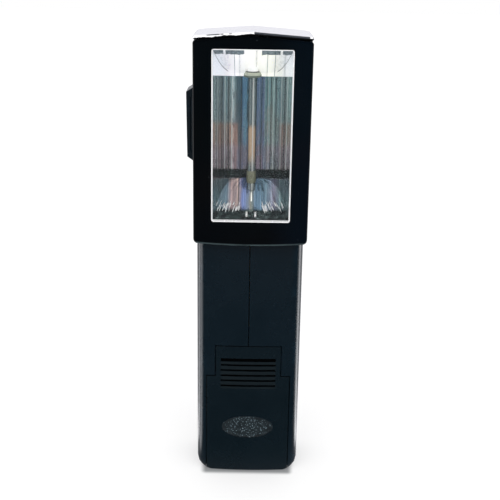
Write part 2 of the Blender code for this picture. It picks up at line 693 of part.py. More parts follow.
def make_screw(name, place):
    """A pan-head screw along X with a cross slot, its head in the right half."""
    head = screw_seat(place) - SCREW_SINK
    neck = head - SCREW_HEAD_HEIGHT
    profile = [
        (SCREW_RADIUS, neck - SCREW_LENGTH), (SCREW_RADIUS, neck), (SCREW_HEAD_RADIUS, neck),
        (SCREW_HEAD_RADIUS, head - SCREW_SLOT_DEPTH / 2), (SCREW_HEAD_RADIUS * 0.75, head),
    ]
    screw = turned("X", place, profile, steps=16)
    y, z = place
    long, short = SCREW_HEAD_RADIUS * 0.55, SCREW_SLOT / 2
    xs = (head - SCREW_SLOT_DEPTH, head + SCREW_SLOT_DEPTH)
    slots = [
        block(xs, (y - long, y + long), (z - short, z + short)),
        block(xs, (y - short, y + short), (z - long, z + long)),
    ]
    return complete(cut(screw, *slots), name, "tinned_steel")


def make_top_cap():
    """Bright gabled trim over the head, held by two pegs."""
    plan = head_plan(HEAD_WIDTH / 2, HEAD_FRONT + CAP_SETBACK, BACK, HANDLE_CORNER)
    cap = prism("Z", plan, HEAD_BASE + HEAD_HEIGHT - CAP_THICKNESS - OVERCUT / 4, RIDGE + OVERCUT / 4)
    keep(cap, gable(0.0, HEAD_BASE))
    cut(cap, gable(CAP_THICKNESS, HEAD_BASE))
    for peg in (-CAP_PEG_SPREAD, CAP_PEG_SPREAD):
        top = RIDGE - GABLE_RISE - CAP_THICKNESS + EMBED
        join(cap, rod("Z", (peg, 0.0), CAP_PEG_RADIUS, top - CAP_PEG_LENGTH, top + EMBED))
    return complete(cap, "top_cap", "bright_trim")


def make_bezel():
    """Glossy front frame of the head with the window opening and a lip that plugs into the shell."""
    drop = CAP_THICKNESS + SLIP
    face = head_face(0.0, drop)
    sections = [
        (offset(face, -BEZEL_EDGE), HEAD_FRONT),
        (offset(face, -0.3 * BEZEL_EDGE), HEAD_FRONT + 0.3 * BEZEL_EDGE),
        (face, HEAD_FRONT + BEZEL_EDGE),
        (face, BEZEL_REAR),
    ]
    bezel = loft("Y", sections)
    cut(bezel, prism("Y", head_face(BEZEL_WALL, drop + BEZEL_WALL), BEZEL_BACK, BEZEL_REAR + OVERCUT))
    side = SHELL_STEP + WALL + FIT
    top = drop + WALL + FIT
    outer = head_face(side, top, 0.0)
    inner = head_face(side + BEZEL_LIP_WALL, top + BEZEL_LIP_WALL, 0.0)
    reach = HEAD_JOINT + BEZEL_LIP_REACH
    start = BEZEL_BACK - EMBED
    lip = loft("Y", [(outer, start), (outer, reach), (inner, reach), (inner, start)], ring=True)
    above = WINDOW_TOP - REFLECTOR_FLANGE
    cut(lip, box((-HEAD_WIDTH, HEAD_FRONT, above), (HEAD_WIDTH, BACK, RIDGE)))
    join(bezel, lip)
    half = WINDOW_WIDTH / 2
    window = box((-half, HEAD_FRONT - OVERCUT, WINDOW_BASE), (half, BEZEL_BACK + OVERCUT, WINDOW_TOP))
    return complete(cut(bezel, window), "front_bezel", "gloss_plastic")


def window_outline(inset):
    """The window opening drawn in by an inset."""
    half = WINDOW_WIDTH / 2 - inset
    return rectangle((-half, WINDOW_BASE + inset), (half, WINDOW_TOP - inset))


def make_window_rim():
    """Thin bright frame set in the bezel, with a ledge that the lens lies on."""
    outer, inner = window_outline(SLIP), window_outline(SLIP + RIM_WALL)
    ledge = window_outline(SLIP + RIM_WALL + RIM_LEDGE)
    front, back = HEAD_FRONT + RIM_SETBACK, BEZEL_BACK - SLIP
    seat = HEAD_FRONT + LENS_SETBACK + LENS_THICKNESS + SLIP
    sections = [(outer, front), (outer, back), (ledge, back), (ledge, seat), (inner, seat), (inner, front)]
    return complete(loft("Y", sections, ring=True), "window_rim", "bright_trim")


def make_lens():
    """Clear pane of the window."""
    outline = window_outline(2 * SLIP + RIM_WALL)
    front = HEAD_FRONT + LENS_SETBACK
    return complete(prism("Y", outline, front, front + LENS_THICKNESS), "window_lens", "clear_lens")


def trough_plan(grow):
    """Plan of the trough, flat behind and curved forward at its sides, grown by a wall."""
    mouth = REFLECTOR_FRONT - OVERCUT
    points = [(-REFLECTOR_HALF, mouth), (REFLECTOR_HALF, mouth)]
    for step in range(TROUGH_STEPS + 1):
        x = REFLECTOR_HALF * (1 - 2 * step / TROUGH_STEPS)
        share = abs(x / REFLECTOR_HALF) ** TROUGH_POWER
        points.append((x, REFLECTOR_VERTEX - REFLECTOR_DEPTH * share))
    if grow == 0:
        return points
    return [(x, max(y, REFLECTOR_FRONT)) for x, y in offset(points, grow)]


def trough_side(grow):
    """Side view (y, z) of the reflector between its two flared end walls, grown by a wall."""
    mouth = REFLECTOR_FRONT if grow else REFLECTOR_FRONT - OVERCUT
    reach = REFLECTOR_VERTEX - REFLECTOR_FRONT
    run = (mouth - REFLECTOR_FRONT) / reach
    far = REFLECTOR_VERTEX + grow + OVERCUT
    run_far = (far - REFLECTOR_FRONT) / reach
    top, low = TROUGH_TOP + REFLECTOR_TOP_FLARE, TROUGH_BASE - REFLECTOR_LOW_FLARE
    return [
        (mouth, low + REFLECTOR_LOW_FLARE * run - grow), (far, low + REFLECTOR_LOW_FLARE * run_far - grow),
        (far, top - REFLECTOR_TOP_FLARE * run_far + grow), (mouth, top - REFLECTOR_TOP_FLARE * run + grow),
    ]


def make_reflector():
    """Trough with flared end walls, a mouth flange and holes for the tube's seals."""
    tall = HEAD_BASE, RIDGE
    wide = -HEAD_WIDTH, HEAD_WIDTH
    body = prism("Z", trough_plan(REFLECTOR_WALL), *tall)
    keep(body, prism("X", trough_side(REFLECTOR_WALL), *wide))
    flange = window_outline(REFLECTOR_MARGIN - REFLECTOR_FLANGE)
    join(body, prism("Y", flange, REFLECTOR_FRONT - REFLECTOR_WALL + SLIP, REFLECTOR_FRONT + EMBED / 2))
    void = keep(prism("Z", trough_plan(0.0), *tall), prism("X", trough_side(0.0), *wide))
    hole = rod("Z", (0.0, TUBE_DEPTH), SEAL_RADIUS + SLIP, *tall)
    cut(body, void, hole)
    return complete(body, "reflector", "mirror_metal")


def make_flash_tube():
    """Glass tube along the trough."""
    profile = [
        (TUBE_RADIUS * 0.5, TUBE_BASE), (TUBE_RADIUS, TUBE_BASE + TUBE_RADIUS / 3),
        (TUBE_RADIUS, TUBE_TOP - TUBE_RADIUS / 3), (TUBE_RADIUS * 0.5, TUBE_TOP),
    ]
    return complete(turned("Z", (0.0, TUBE_DEPTH), profile, steps=16), "flash_tube", "tube_glass")


def make_seal(name, low, high):
    """Round seal that fills a hole of the reflector and grips the tube."""
    bore = TUBE_RADIUS + SLIP
    profile = [(SEAL_RADIUS, low), (SEAL_RADIUS, high), (bore, high), (bore, low)]
    return complete(turned("Z", (0.0, TUBE_DEPTH), profile, ring=True), name, "silicone")


def make_bead():
    """Oval band on the tube where its lower electrode sits."""
    bore = TUBE_RADIUS + SLIP
    low, high = TROUGH_BASE + FIT, TROUGH_BASE + FIT + BEAD_LENGTH
    profile = []
    for radius, level in arc((0.0, 0.0), 1.0, -80, 80, 6):
        profile.append((bore + (BEAD_RADIUS - bore) * radius, (low + high + BEAD_LENGTH * level) / 2))
    profile += [(bore, high), (bore, low)]
    return complete(turned("Z", (0.0, TUBE_DEPTH), profile, ring=True), "tube_band", "silicone")


def make_lead(name, end, direction):
    """Wire from one end of the tube back to the circuit board."""
    start = end + direction * FIT
    bend = start + direction * LEAD_RISE
    levels = sorted((start, bend + direction * LEAD_RADIUS))
    wire = rod("Z", (0.0, TUBE_DEPTH), LEAD_RADIUS, *levels, steps=8)
    join(wire, rod("Y", (0.0, bend), LEAD_RADIUS * 0.98, TUBE_DEPTH, BOARD_FACE - FIT, steps=8))
    return complete(wire, name, "tinned_steel")


def make_door():
    """Sliding battery door: plate with tongue, grip grooves, thumb oval, side lips and a catch."""
    door = keep(handle_form(HEAD_BASE), prism("Y", door_face(0.0), HANDLE_FRONT - OVERCUT, DOOR_BACK))
    outer, inner = DOOR_WIDTH / 2 - EMBED, DOOR_WIDTH / 2 - EMBED - DOOR_WEB
    lip_front = HANDLE_FRONT + DOOR_LIP_DEPTH
    lip_back = lip_front + DOOR_LIP_THICKNESS
    grip = DOOR_WIDTH / 2 + SLIP + DOOR_LIP_GRIP
    low, high = FLOOR + 2 * FIT, DOOR_HEIGHT - 2 * FIT
    for side in (-1, 1):
        web = sorted((side * inner, side * outer))
        hook = sorted((side * inner, side * grip))
        join(door, box((web[0], DOOR_BACK - EMBED, low), (web[1], lip_back, high)),
             box((hook[0], lip_front, low), (hook[1], lip_back, high)))
    top = DOOR_HEIGHT + TONGUE_HEIGHT
    half = CATCH_WIDTH / 2
    back = DOOR_BACK + HANDLE_CROWN + FIT
    tip = back + DOOR_LIP_THICKNESS
    depth = (DOOR_BACK - EMBED, back + EMBED)
    join(door, block((-half, half), depth, (top - 2 * CATCH_HEIGHT, top - EMBED)),
         block((-half, half), (back, tip), (top - CATCH_HEIGHT, top + CATCH_HEIGHT)))
    half = GRIP_WIDTH / 2
    front = HANDLE_FRONT + GRIP_DEPTH
    for index in range(GRIP_GROOVES):
        middle = GRIP_TOP - GRIP_GROOVE / 2 - index * GRIP_PITCH
        ends = middle - GRIP_GROOVE / 2, middle + GRIP_GROOVE / 2
        cut(door, box((-half, HANDLE_FRONT - OVERCUT, ends[0]), (half, front, ends[1])))
    oval = [(OVAL_WIDTH / 2 * x, OVAL_LEVEL + OVAL_HEIGHT / 2 * z) for x, z in circle((0.0, 0.0), 1.0, 28)]
    cut(door, prism("Y", oval, HANDLE_FRONT - OVERCUT, HANDLE_FRONT + OVAL_DEPTH))
    return complete(door, "battery_door", "satin_plastic", (0.0, HANDLE_FRONT, DOOR_LIFT))


def make_cradle():
    """Tray that holds the two cells: back, sides, roof and a divider."""
    half = INNER_HALF - FIT
    front = HANDLE_FRONT + DOOR_LIP_DEPTH + DOOR_LIP_THICKNESS + FIT
    base = FLOOR + FIT
    cradle = box((-half, front, base), (half, CRADLE_BACK + CRADLE_WALL, CRADLE_ROOF + CRADLE_WALL))
    inside = half - CRADLE_WALL
    cut(cradle, block((-inside, inside), (front - OVERCUT, CRADLE_BACK), (base - OVERCUT, CRADLE_ROOF)))
    rib = CRADLE_DIVIDER / 2
    join(cradle, box((-rib, CELL_DEPTH, CELL_BASE), (rib, CRADLE_BACK + EMBED, CRADLE_ROOF + EMBED)))
    return complete(cradle, "battery_cradle", "grey_plastic")


def make_cell(name, side, nub_up):
    """A round cell with its raised pole at one end."""
    low, high = CELL_BASE, CELL_BASE + CELL_LENGTH
    edge = ROLLED_EDGE
    profile = [
        (CELL_RADIUS - edge, low), (CELL_RADIUS, low + edge), (CELL_RADIUS, high - CELL_NUB - edge),
        (CELL_RADIUS - edge, high - CELL_NUB), (CELL_NUB_RADIUS, high - CELL_NUB), (CELL_NUB_RADIUS, high),
    ]
    if not nub_up:
        profile = [(radius, low + high - level) for radius, level in reversed(profile)]
    cell = turned("Z", (side * CELL_SPREAD, CELL_DEPTH), profile)
    return complete(cell, name, "cell_sleeve")


def make_contact(name, low_x, high_x, level):
    """Flat plate that touches the end of a cell, or of both cells."""
    half = CONTACT_DEPTH / 2
    low, high = (low_x, CELL_DEPTH - half), (high_x, CELL_DEPTH + half)
    outline = rounded_rectangle(low, high, CONTACT_CORNER)
    plate = prism("Z", outline, level, level + CONTACT_THICKNESS)
    return complete(plate, name, "tinned_steel")


def make_board():
    """Circuit board, wide in the handle and narrower in the head."""
    wide, narrow = INNER_HALF - FIT, BOARD_HEAD_WIDTH / 2
    step, top = HEAD_BASE + WALL, HEAD_BASE + BOARD_RISE
    outline = [
        (-wide, BOARD_BASE), (wide, BOARD_BASE), (wide, step), (narrow, step),
        (narrow, top), (-narrow, top), (-narrow, step), (-wide, step),
    ]
    return complete(prism("Y", outline, BOARD_FACE, BOARD_BACK), "circuit_board", "board")


def make_capacitor():
    """Upright storage capacitor in front of the board, with a rolled edge."""
    low = BOARD_BASE + 2 * FIT
    high = low + CAPACITOR_LENGTH
    edge = ROLLED_EDGE
    profile = [
        (CAPACITOR_RADIUS - edge, low), (CAPACITOR_RADIUS, low + edge), (CAPACITOR_RADIUS, high - 4 * edge),
        (CAPACITOR_RADIUS - edge, high - 3 * edge), (CAPACITOR_RADIUS, high - 2 * edge),
        (CAPACITOR_RADIUS - edge, high),
    ]
    centre = (CAPACITOR_PLACE, BOARD_FACE - FIT - CAPACITOR_RADIUS)
    return complete(turned("Z", centre, profile), "storage_capacitor", "cell_sleeve")


def make_transformer():
    """Ferrite frame and the taped winding that passes through it."""
    left, right = TRANSFORMER_PLACE - CORE_WIDTH / 2, TRANSFORMER_PLACE + CORE_WIDTH / 2
    low, high = TRANSFORMER_LEVEL - CORE_HEIGHT / 2, TRANSFORMER_LEVEL + CORE_HEIGHT / 2
    outer = rectangle((left, low), (right, high))
    inner = offset(outer, -CORE_LIMB)
    back = BOARD_FACE - FIT - (WINDING_DEPTH - CORE_DEPTH) / 2
    front = back - CORE_DEPTH
    core = loft("Y", [(outer, front), (outer, back), (inner, back), (inner, front)], ring=True)
    winding = prism("Y", offset(inner, -FIT), BOARD_FACE - FIT - WINDING_DEPTH, BOARD_FACE - FIT)
    return [
        complete(core, "transformer_core", "ferrite"),
        complete(winding, "transformer_winding", "winding_tape"),
    ]


def make_board_parts():
    """Trigger coil, rectifier, transistor and neon lamp on the board."""
    depth = BOARD_FACE - FIT - COIL_RADIUS
    edge = ROLLED_EDGE
    low, high = COIL_LEVEL, COIL_LEVEL + COIL_LENGTH
    profile = [
        (COIL_RADIUS, low), (COIL_RADIUS, low + edge), (COIL_RADIUS - edge, low + edge),
        (COIL_RADIUS - edge, high - edge), (COIL_RADIUS, high - edge), (COIL_RADIUS, high),
    ]
    coil = turned("Z", (COIL_PLACE, depth), profile, steps=16)
    depth = BOARD_FACE - FIT - RECTIFIER_RADIUS
    place = COIL_PLACE + COIL_RADIUS + RECTIFIER_GAP + RECTIFIER_RADIUS
    top = COIL_LEVEL + RECTIFIER_LENGTH
    rectifier = rod("Z", (place, depth), RECTIFIER_RADIUS, COIL_LEVEL, top, steps=12)
    back = BOARD_BACK + FIT
    left, base = -CONTROL_SPREAD - TRANSISTOR_WIDTH / 2, SWITCH_LEVEL - TRANSISTOR_HEIGHT / 2
    transistor = block((left, left + TRANSISTOR_WIDTH), (back, back + TRANSISTOR_DEPTH),
                       (base, base + TRANSISTOR_HEIGHT))
    centre = (-CONTROL_SPREAD, BOARD_BACK + FIT + LAMP_RADIUS)
    low = CONTROL_LEVEL - LAMP_LENGTH / 2
    lamp = turned("Z", centre, [(LAMP_RADIUS, low), (LAMP_RADIUS, low + LAMP_LENGTH - edge),
                                (LAMP_RADIUS * 0.5, low + LAMP_LENGTH)], steps=12)
    return [
        complete(coil, "trigger_coil", "winding_tape"),
        complete(rectifier, "rectifier_diode", "ferrite"),
        complete(transistor, "oscillator_transistor", "ferrite"),
        complete(lamp, "neon_lamp", "tube_glass"),
    ]


def make_jewel():
    """Amber window of the ready lamp, pushed in from inside."""
    seat = INNER_BACK - SLIP
    profile = [
        (JEWEL_RADIUS + FLANGE_MARGIN, seat - CONTROL_FLANGE), (JEWEL_RADIUS + FLANGE_MARGIN, seat),
        (JEWEL_RADIUS, seat), (JEWEL_RADIUS, BACK + JEWEL_PROUD / 2),
        (JEWEL_RADIUS * 0.6, BACK + JEWEL_PROUD),
    ]
    jewel = turned("Y", (-CONTROL_SPREAD, CONTROL_LEVEL), profile)
    return complete(jewel, "ready_lamp_window", "amber")


def make_button():
    """Test button with its flange and the stem that presses the contact leaf."""
    seat = INNER_BACK - SLIP
    leaf = BOARD_BACK + FIT + 2 * LEAF_THICKNESS
    tip = leaf + BUTTON_TRAVEL + SLIP
    profile = [
        (BUTTON_STEM_RADIUS, tip), (BUTTON_STEM_RADIUS, seat - CONTROL_FLANGE),
        (BUTTON_RADIUS + FLANGE_MARGIN, seat - CONTROL_FLANGE), (BUTTON_RADIUS + FLANGE_MARGIN, seat),
        (BUTTON_RADIUS, seat), (BUTTON_RADIUS, BACK + BUTTON_PROUD * 0.7),
        (BUTTON_RADIUS * 0.85, BACK + BUTTON_PROUD),
    ]
    button = turned("Y", (CONTROL_SPREAD, CONTROL_LEVEL), profile)
    return complete(button, "test_button", "gloss_plastic", (CONTROL_SPREAD, BACK, CONTROL_LEVEL))


def make_leaf():
    """Contact leaf under the test button, raised on a foot from the board."""
    low, high = CONTROL_LEVEL - LEAF_HEIGHT / 2, CONTROL_LEVEL + LEAF_HEIGHT / 2
    left, right = CONTROL_SPREAD - LEAF_WIDTH / 2, CONTROL_SPREAD + LEAF_WIDTH / 2
    base = BOARD_BACK + FIT
    top = base + 2 * LEAF_THICKNESS
    foot = low + LEAF_FOOT
    outline = [(base, low), (base, foot), (top - LEAF_THICKNESS, foot + LEAF_THICKNESS),
               (top - LEAF_THICKNESS, high), (top, high), (top, foot), (base + LEAF_THICKNESS, low)]
    return complete(prism("X", list(reversed(outline)), left, right), "test_contact_leaf", "tinned_steel")


def make_switch():
    """Power switch: ridged knob with a stem and inner flange, and the switch body on the board."""
    seat = INNER_BACK - SLIP
    half, tall = KNOB_WIDTH / 2, KNOB_HEIGHT / 2
    place, level = SWITCH_PLACE - SWITCH_TRAVEL / 2, SWITCH_LEVEL
    top = BACK + KNOB_PROUD
    cap = block((place - half, place + half), (BACK + SLIP, top), (level - tall, level + tall))
    inner = seat - CONTROL_FLANGE
    wide, high = KNOB_STEM_WIDTH / 2, KNOB_STEM_HEIGHT / 2
    depth = (inner, BACK + SLIP + EMBED)
    stem = block((place - wide, place + wide), depth, (level - high, level + high))
    wide, high = wide + 2 * FLANGE_MARGIN, high + FLANGE_MARGIN
    flange = block((place - wide, place + wide), (inner, seat), (level - high, level + high))
    join(cap, stem, flange)
    pitch = KNOB_WIDTH / (KNOB_RIDGES + 1)
    depth = (top - KNOB_GROOVE, top + OVERCUT)
    for index in range(KNOB_RIDGES):
        x = place - half + (index + 1) * pitch
        xs = (x - KNOB_GROOVE, x + KNOB_GROOVE)
        cut(cap, block(xs, depth, (level - KNOB_HEIGHT, level + KNOB_HEIGHT)))
    half, tall = SWITCH_BODY_WIDTH / 2, SWITCH_BODY_HEIGHT / 2
    depth = (BOARD_BACK + FIT, inner - FIT)
    body = block((SWITCH_PLACE - half, SWITCH_PLACE + half), depth, (level - tall, level + tall))
    return [
        complete(cap, "power_switch_knob", "satin_plastic", (place, BACK, level)),
        complete(body, "power_switch_body", "grey_plastic"),
    ]


def make_plate():
    """Bare metal plate in the back's recess."""
    half = PLATE_WIDTH / 2
    low, high = PLATE_BASE, PLATE_BASE + PLATE_HEIGHT
    outline = rounded_rectangle((-half, low), (half, high), PLATE_CORNER)
    floor = BACK - PLATE_RECESS + SLIP
    return complete(prism("Y", outline, floor, floor + PLATE_THICKNESS), "rear_plate", "blank_plate")


def arm_outline():
    """Front view of the connector arm, its outer ends chamfered and its heel relieved."""
    face = -SHELL_HALF
    inner = face + ARM_INSET
    return [
        (face, ARM_LOW), (inner, ARM_LOW), (inner, ARM_TOP - ARM_HEEL), (inner - ARM_HEEL, ARM_TOP),
        (face, ARM_TOP), (face - ARM_PROUD_TOP, ARM_TOP - ARM_CHAMFER),
        (face - ARM_PROUD_LOW, ARM_LOW + ARM_CHAMFER),
    ]


def make_arm():
    """Connector arm that folds out about its upper end, with the pin bore, blade slot and nail groove."""
    arm = prism("Y", arm_outline(), ARM_FRONT, ARM_BACK)
    face = -SHELL_HALF
    bore = rod("Y", (HINGE_X, HINGE_Z), PIN_RADIUS + RUNNING, ARM_FRONT - OVERCUT, ARM_BACK + OVERCUT)
    wide, tall = BLADE_WIDTH / 2 + SLIP, BLADE_THICKNESS / 2 + SLIP
    root = face + ARM_INSET - BLADE_ROOT - SLIP
    xs = (root, face + ARM_INSET + OVERCUT)
    slot = block(xs, (BLADE_Y - wide, BLADE_Y + wide), (BLADE_Z - tall, BLADE_Z + tall))
    line = face - ARM_PROUD_LOW / 2
    xs = (line - ARM_GROOVE / 2, line + ARM_GROOVE / 2)
    ends = (ARM_LOW + 2 * ARM_CHAMFER, ARM_TOP - 2 * ARM_CHAMFER)
    cut(arm, bore, slot, block(xs, (ARM_FRONT - OVERCUT, ARM_FRONT + ARM_GROOVE), ends))
    return complete(arm, "connector_arm", "satin_plastic", (HINGE_X, (ARM_FRONT + ARM_BACK) / 2, HINGE_Z))


def make_hinge():
    """Hinge pin and the friction washer behind the arm."""
    centre = (HINGE_X, HINGE_Z)
    pin = rod("Y", centre, PIN_RADIUS, POCKET_FRONT - PIN_END, POCKET_BACK + PIN_END, steps=ROUND_STEPS)
    bore = PIN_RADIUS + RUNNING
    low, high = ARM_BACK + FIT, ARM_BACK + FIT + WASHER_THICKNESS
    washer = turned("Y", centre, [(WASHER_RADIUS, low), (WASHER_RADIUS, high), (bore, high), (bore, low)],
                    ring=True)
    return [
        complete(pin, "arm_hinge_pin", "tinned_steel"),
        complete(washer, "arm_friction_washer", "tinned_steel"),
    ]


def make_blade():
    """Contact blade set in the arm's lower end, pointing into the head when folded."""
    inner = -SHELL_HALF + ARM_INSET
    half = BLADE_WIDTH / 2
    tip = BLADE_TIP
    outline = [
        (inner - BLADE_ROOT, BLADE_Y - half), (tip - BLADE_CORNER, BLADE_Y - half),
        (tip, BLADE_Y - half + BLADE_CORNER), (tip, BLADE_Y + half - BLADE_CORNER),
        (tip - BLADE_CORNER, BLADE_Y + half), (inner - BLADE_ROOT, BLADE_Y + half),
    ]
    blade = prism("Z", outline, BLADE_Z - BLADE_THICKNESS / 2, BLADE_Z + BLADE_THICKNESS / 2)
    return complete(blade, "contact_blade", "tinned_steel")


def make_power():
    """Cells, their cradle and the contact plates."""
    half = CONTACT_WIDTH / 2
    upper = CELL_BASE + CELL_LENGTH + FIT
    make_cradle()
    make_cell("battery_cell_left", -1, True)
    make_cell("battery_cell_right", 1, False)
    make_contact("contact_upper_left", -CELL_SPREAD - half, -CELL_SPREAD + half, upper)
    make_contact("contact_upper_right", CELL_SPREAD - half, CELL_SPREAD + half, upper)
    make_contact("contact_bridge_lower", -CELL_SPREAD - half, CELL_SPREAD + half, FLOOR + FIT)


def make_light():
    """Bezel, rim, lens, reflector and the flash tube with its seals and leads."""
    make_bezel()
    make_window_rim()
    make_lens()
    make_reflector()
    make_flash_tube()
    share_top = TROUGH_TOP + REFLECTOR_TOP_FLARE * TUBE_SHARE
    share_low = TROUGH_BASE - REFLECTOR_LOW_FLARE * TUBE_SHARE
    make_seal("tube_seal_upper", TROUGH_TOP - SEAL_FACE, share_top + TUBE_TAIL - SEAL_FACE)
    make_seal("tube_seal_lower", share_low - TUBE_TAIL + SEAL_FACE, TROUGH_BASE)
    make_bead()
    make_lead("tube_lead_upper", TUBE_TOP, 1)
    make_lead("tube_lead_lower", TUBE_BASE, -1)


def main():
    """Build every piece of the flash."""
    clear_scene()
    make_housing_left()
    make_housing_right()
    for name, place in SCREWS.items():
        make_screw(name, place)
    make_top_cap()
    make_light()
    make_door()
    make_power()
    make_board()
    make_capacitor()
    make_transformer()
    make_board_parts()
    make_jewel()
    make_button()
    make_leaf()
    make_switch()
    make_plate()
    make_arm()
    make_hinge()
    make_blade()


main()
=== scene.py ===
"""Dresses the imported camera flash: fine outer pieces, procedural finishes, floor, light and camera."""

import logging
import math
import random
from dataclasses import dataclass
from enum import Enum
from typing import Iterable, Sequence

import bmesh
import bpy
from mathutils import Matrix, Vector, noise


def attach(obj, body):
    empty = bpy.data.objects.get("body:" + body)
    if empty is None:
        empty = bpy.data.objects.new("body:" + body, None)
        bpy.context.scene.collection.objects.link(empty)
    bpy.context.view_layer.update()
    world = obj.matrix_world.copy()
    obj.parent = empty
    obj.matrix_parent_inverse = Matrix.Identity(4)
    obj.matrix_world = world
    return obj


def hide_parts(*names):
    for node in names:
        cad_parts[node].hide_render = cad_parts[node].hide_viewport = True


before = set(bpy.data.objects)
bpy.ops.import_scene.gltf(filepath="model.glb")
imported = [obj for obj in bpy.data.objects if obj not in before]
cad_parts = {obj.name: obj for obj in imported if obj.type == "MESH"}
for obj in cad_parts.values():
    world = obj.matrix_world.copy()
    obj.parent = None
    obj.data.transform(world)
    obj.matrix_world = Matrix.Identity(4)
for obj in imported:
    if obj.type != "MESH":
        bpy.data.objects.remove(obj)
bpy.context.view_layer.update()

logging.basicConfig(level=logging.INFO, format="%(message)s")
LOG = logging.getLogger("flash")

MM = 0.001
Colour = tuple[float, float, float]
Point = tuple[float, float]
Spot = tuple[float, float, float]
BLACK: Colour = (0.0, 0.0, 0.0)
WHITE: Colour = (1.0, 1.0, 1.0)


# ---------------------------------------------------------------- shader maths

class Term:
    """A node's output that takes part in written sums.

    Args:
        shade: The material, world or node group under construction.
        socket: The output that carries the value.
    """

    def __init__(self, shade: "Shade", socket: bpy.types.NodeSocket) -> None:
        self.shade = shade
        self.socket = socket

    def math(self, operation: str, other: "Term | float" = 0.0, swapped: bool = False) -> "Term":
        """One Math node on this value.

        Args:
            operation: Name of the Math operation.
            other: Second operand.
            swapped: Whether the second operand goes first.

        Returns:
            The node's value.
        """
        first, second = (other, self) if swapped else (self, other)
        return self.shade.node("ShaderNodeMath", {"operation": operation}, {0: first, 1: second})

    def __add__(self, other: "Term | float") -> "Term":
        """Sum."""
        return self.math("ADD", other)

    __radd__ = __add__

    def __sub__(self, other: "Term | float") -> "Term":
        """Difference."""
        return self.math("SUBTRACT", other)

    def __rsub__(self, other: "Term | float") -> "Term":
        """Difference with this value second."""
        return self.math("SUBTRACT", other, True)

    def __mul__(self, other: "Term | float") -> "Term":
        """Product."""
        return self.math("MULTIPLY", other)

    __rmul__ = __mul__

    def __truediv__(self, other: "Term | float") -> "Term":
        """Quotient."""
        return self.math("DIVIDE", other)

    def __rtruediv__(self, other: "Term | float") -> "Term":
        """Quotient with this value second."""
        return self.math("DIVIDE", other, True)

    def __gt__(self, other: "Term | float") -> "Term":
        """1 where this value is the larger."""
        return self.math("GREATER_THAN", other)

    def __lt__(self, other: "Term | float") -> "Term":
        """1 where this value is the smaller."""
        return self.math("LESS_THAN", other)

    def __abs__(self) -> "Term":
        """Size without sign."""
        return self.math("ABSOLUTE")

    def at_least(self, other: "Term | float") -> "Term":
        """The larger of this value and another."""
        return self.math("MAXIMUM", other)

    def beside(self, other: "Term") -> "Term":
        """Length across two values that stand at a right angle."""
        return (self * self + other * other).math("SQRT")

    def step(self, low: float, high: float) -> "Term":
        """A smooth rise from 0 at low to 1 at high."""
        settings = {"interpolation_type": "SMOOTHSTEP"}
        return self.shade.node("ShaderNodeMapRange", settings, {0: self, 1: low, 2: high, 3: 0.0, 4: 1.0})

    def near(self, middle: float, far: float, close: float) -> "Term":
        """1 up to a close distance from a middle, 0 from a far one on."""
        return abs(self - middle).step(far, close)


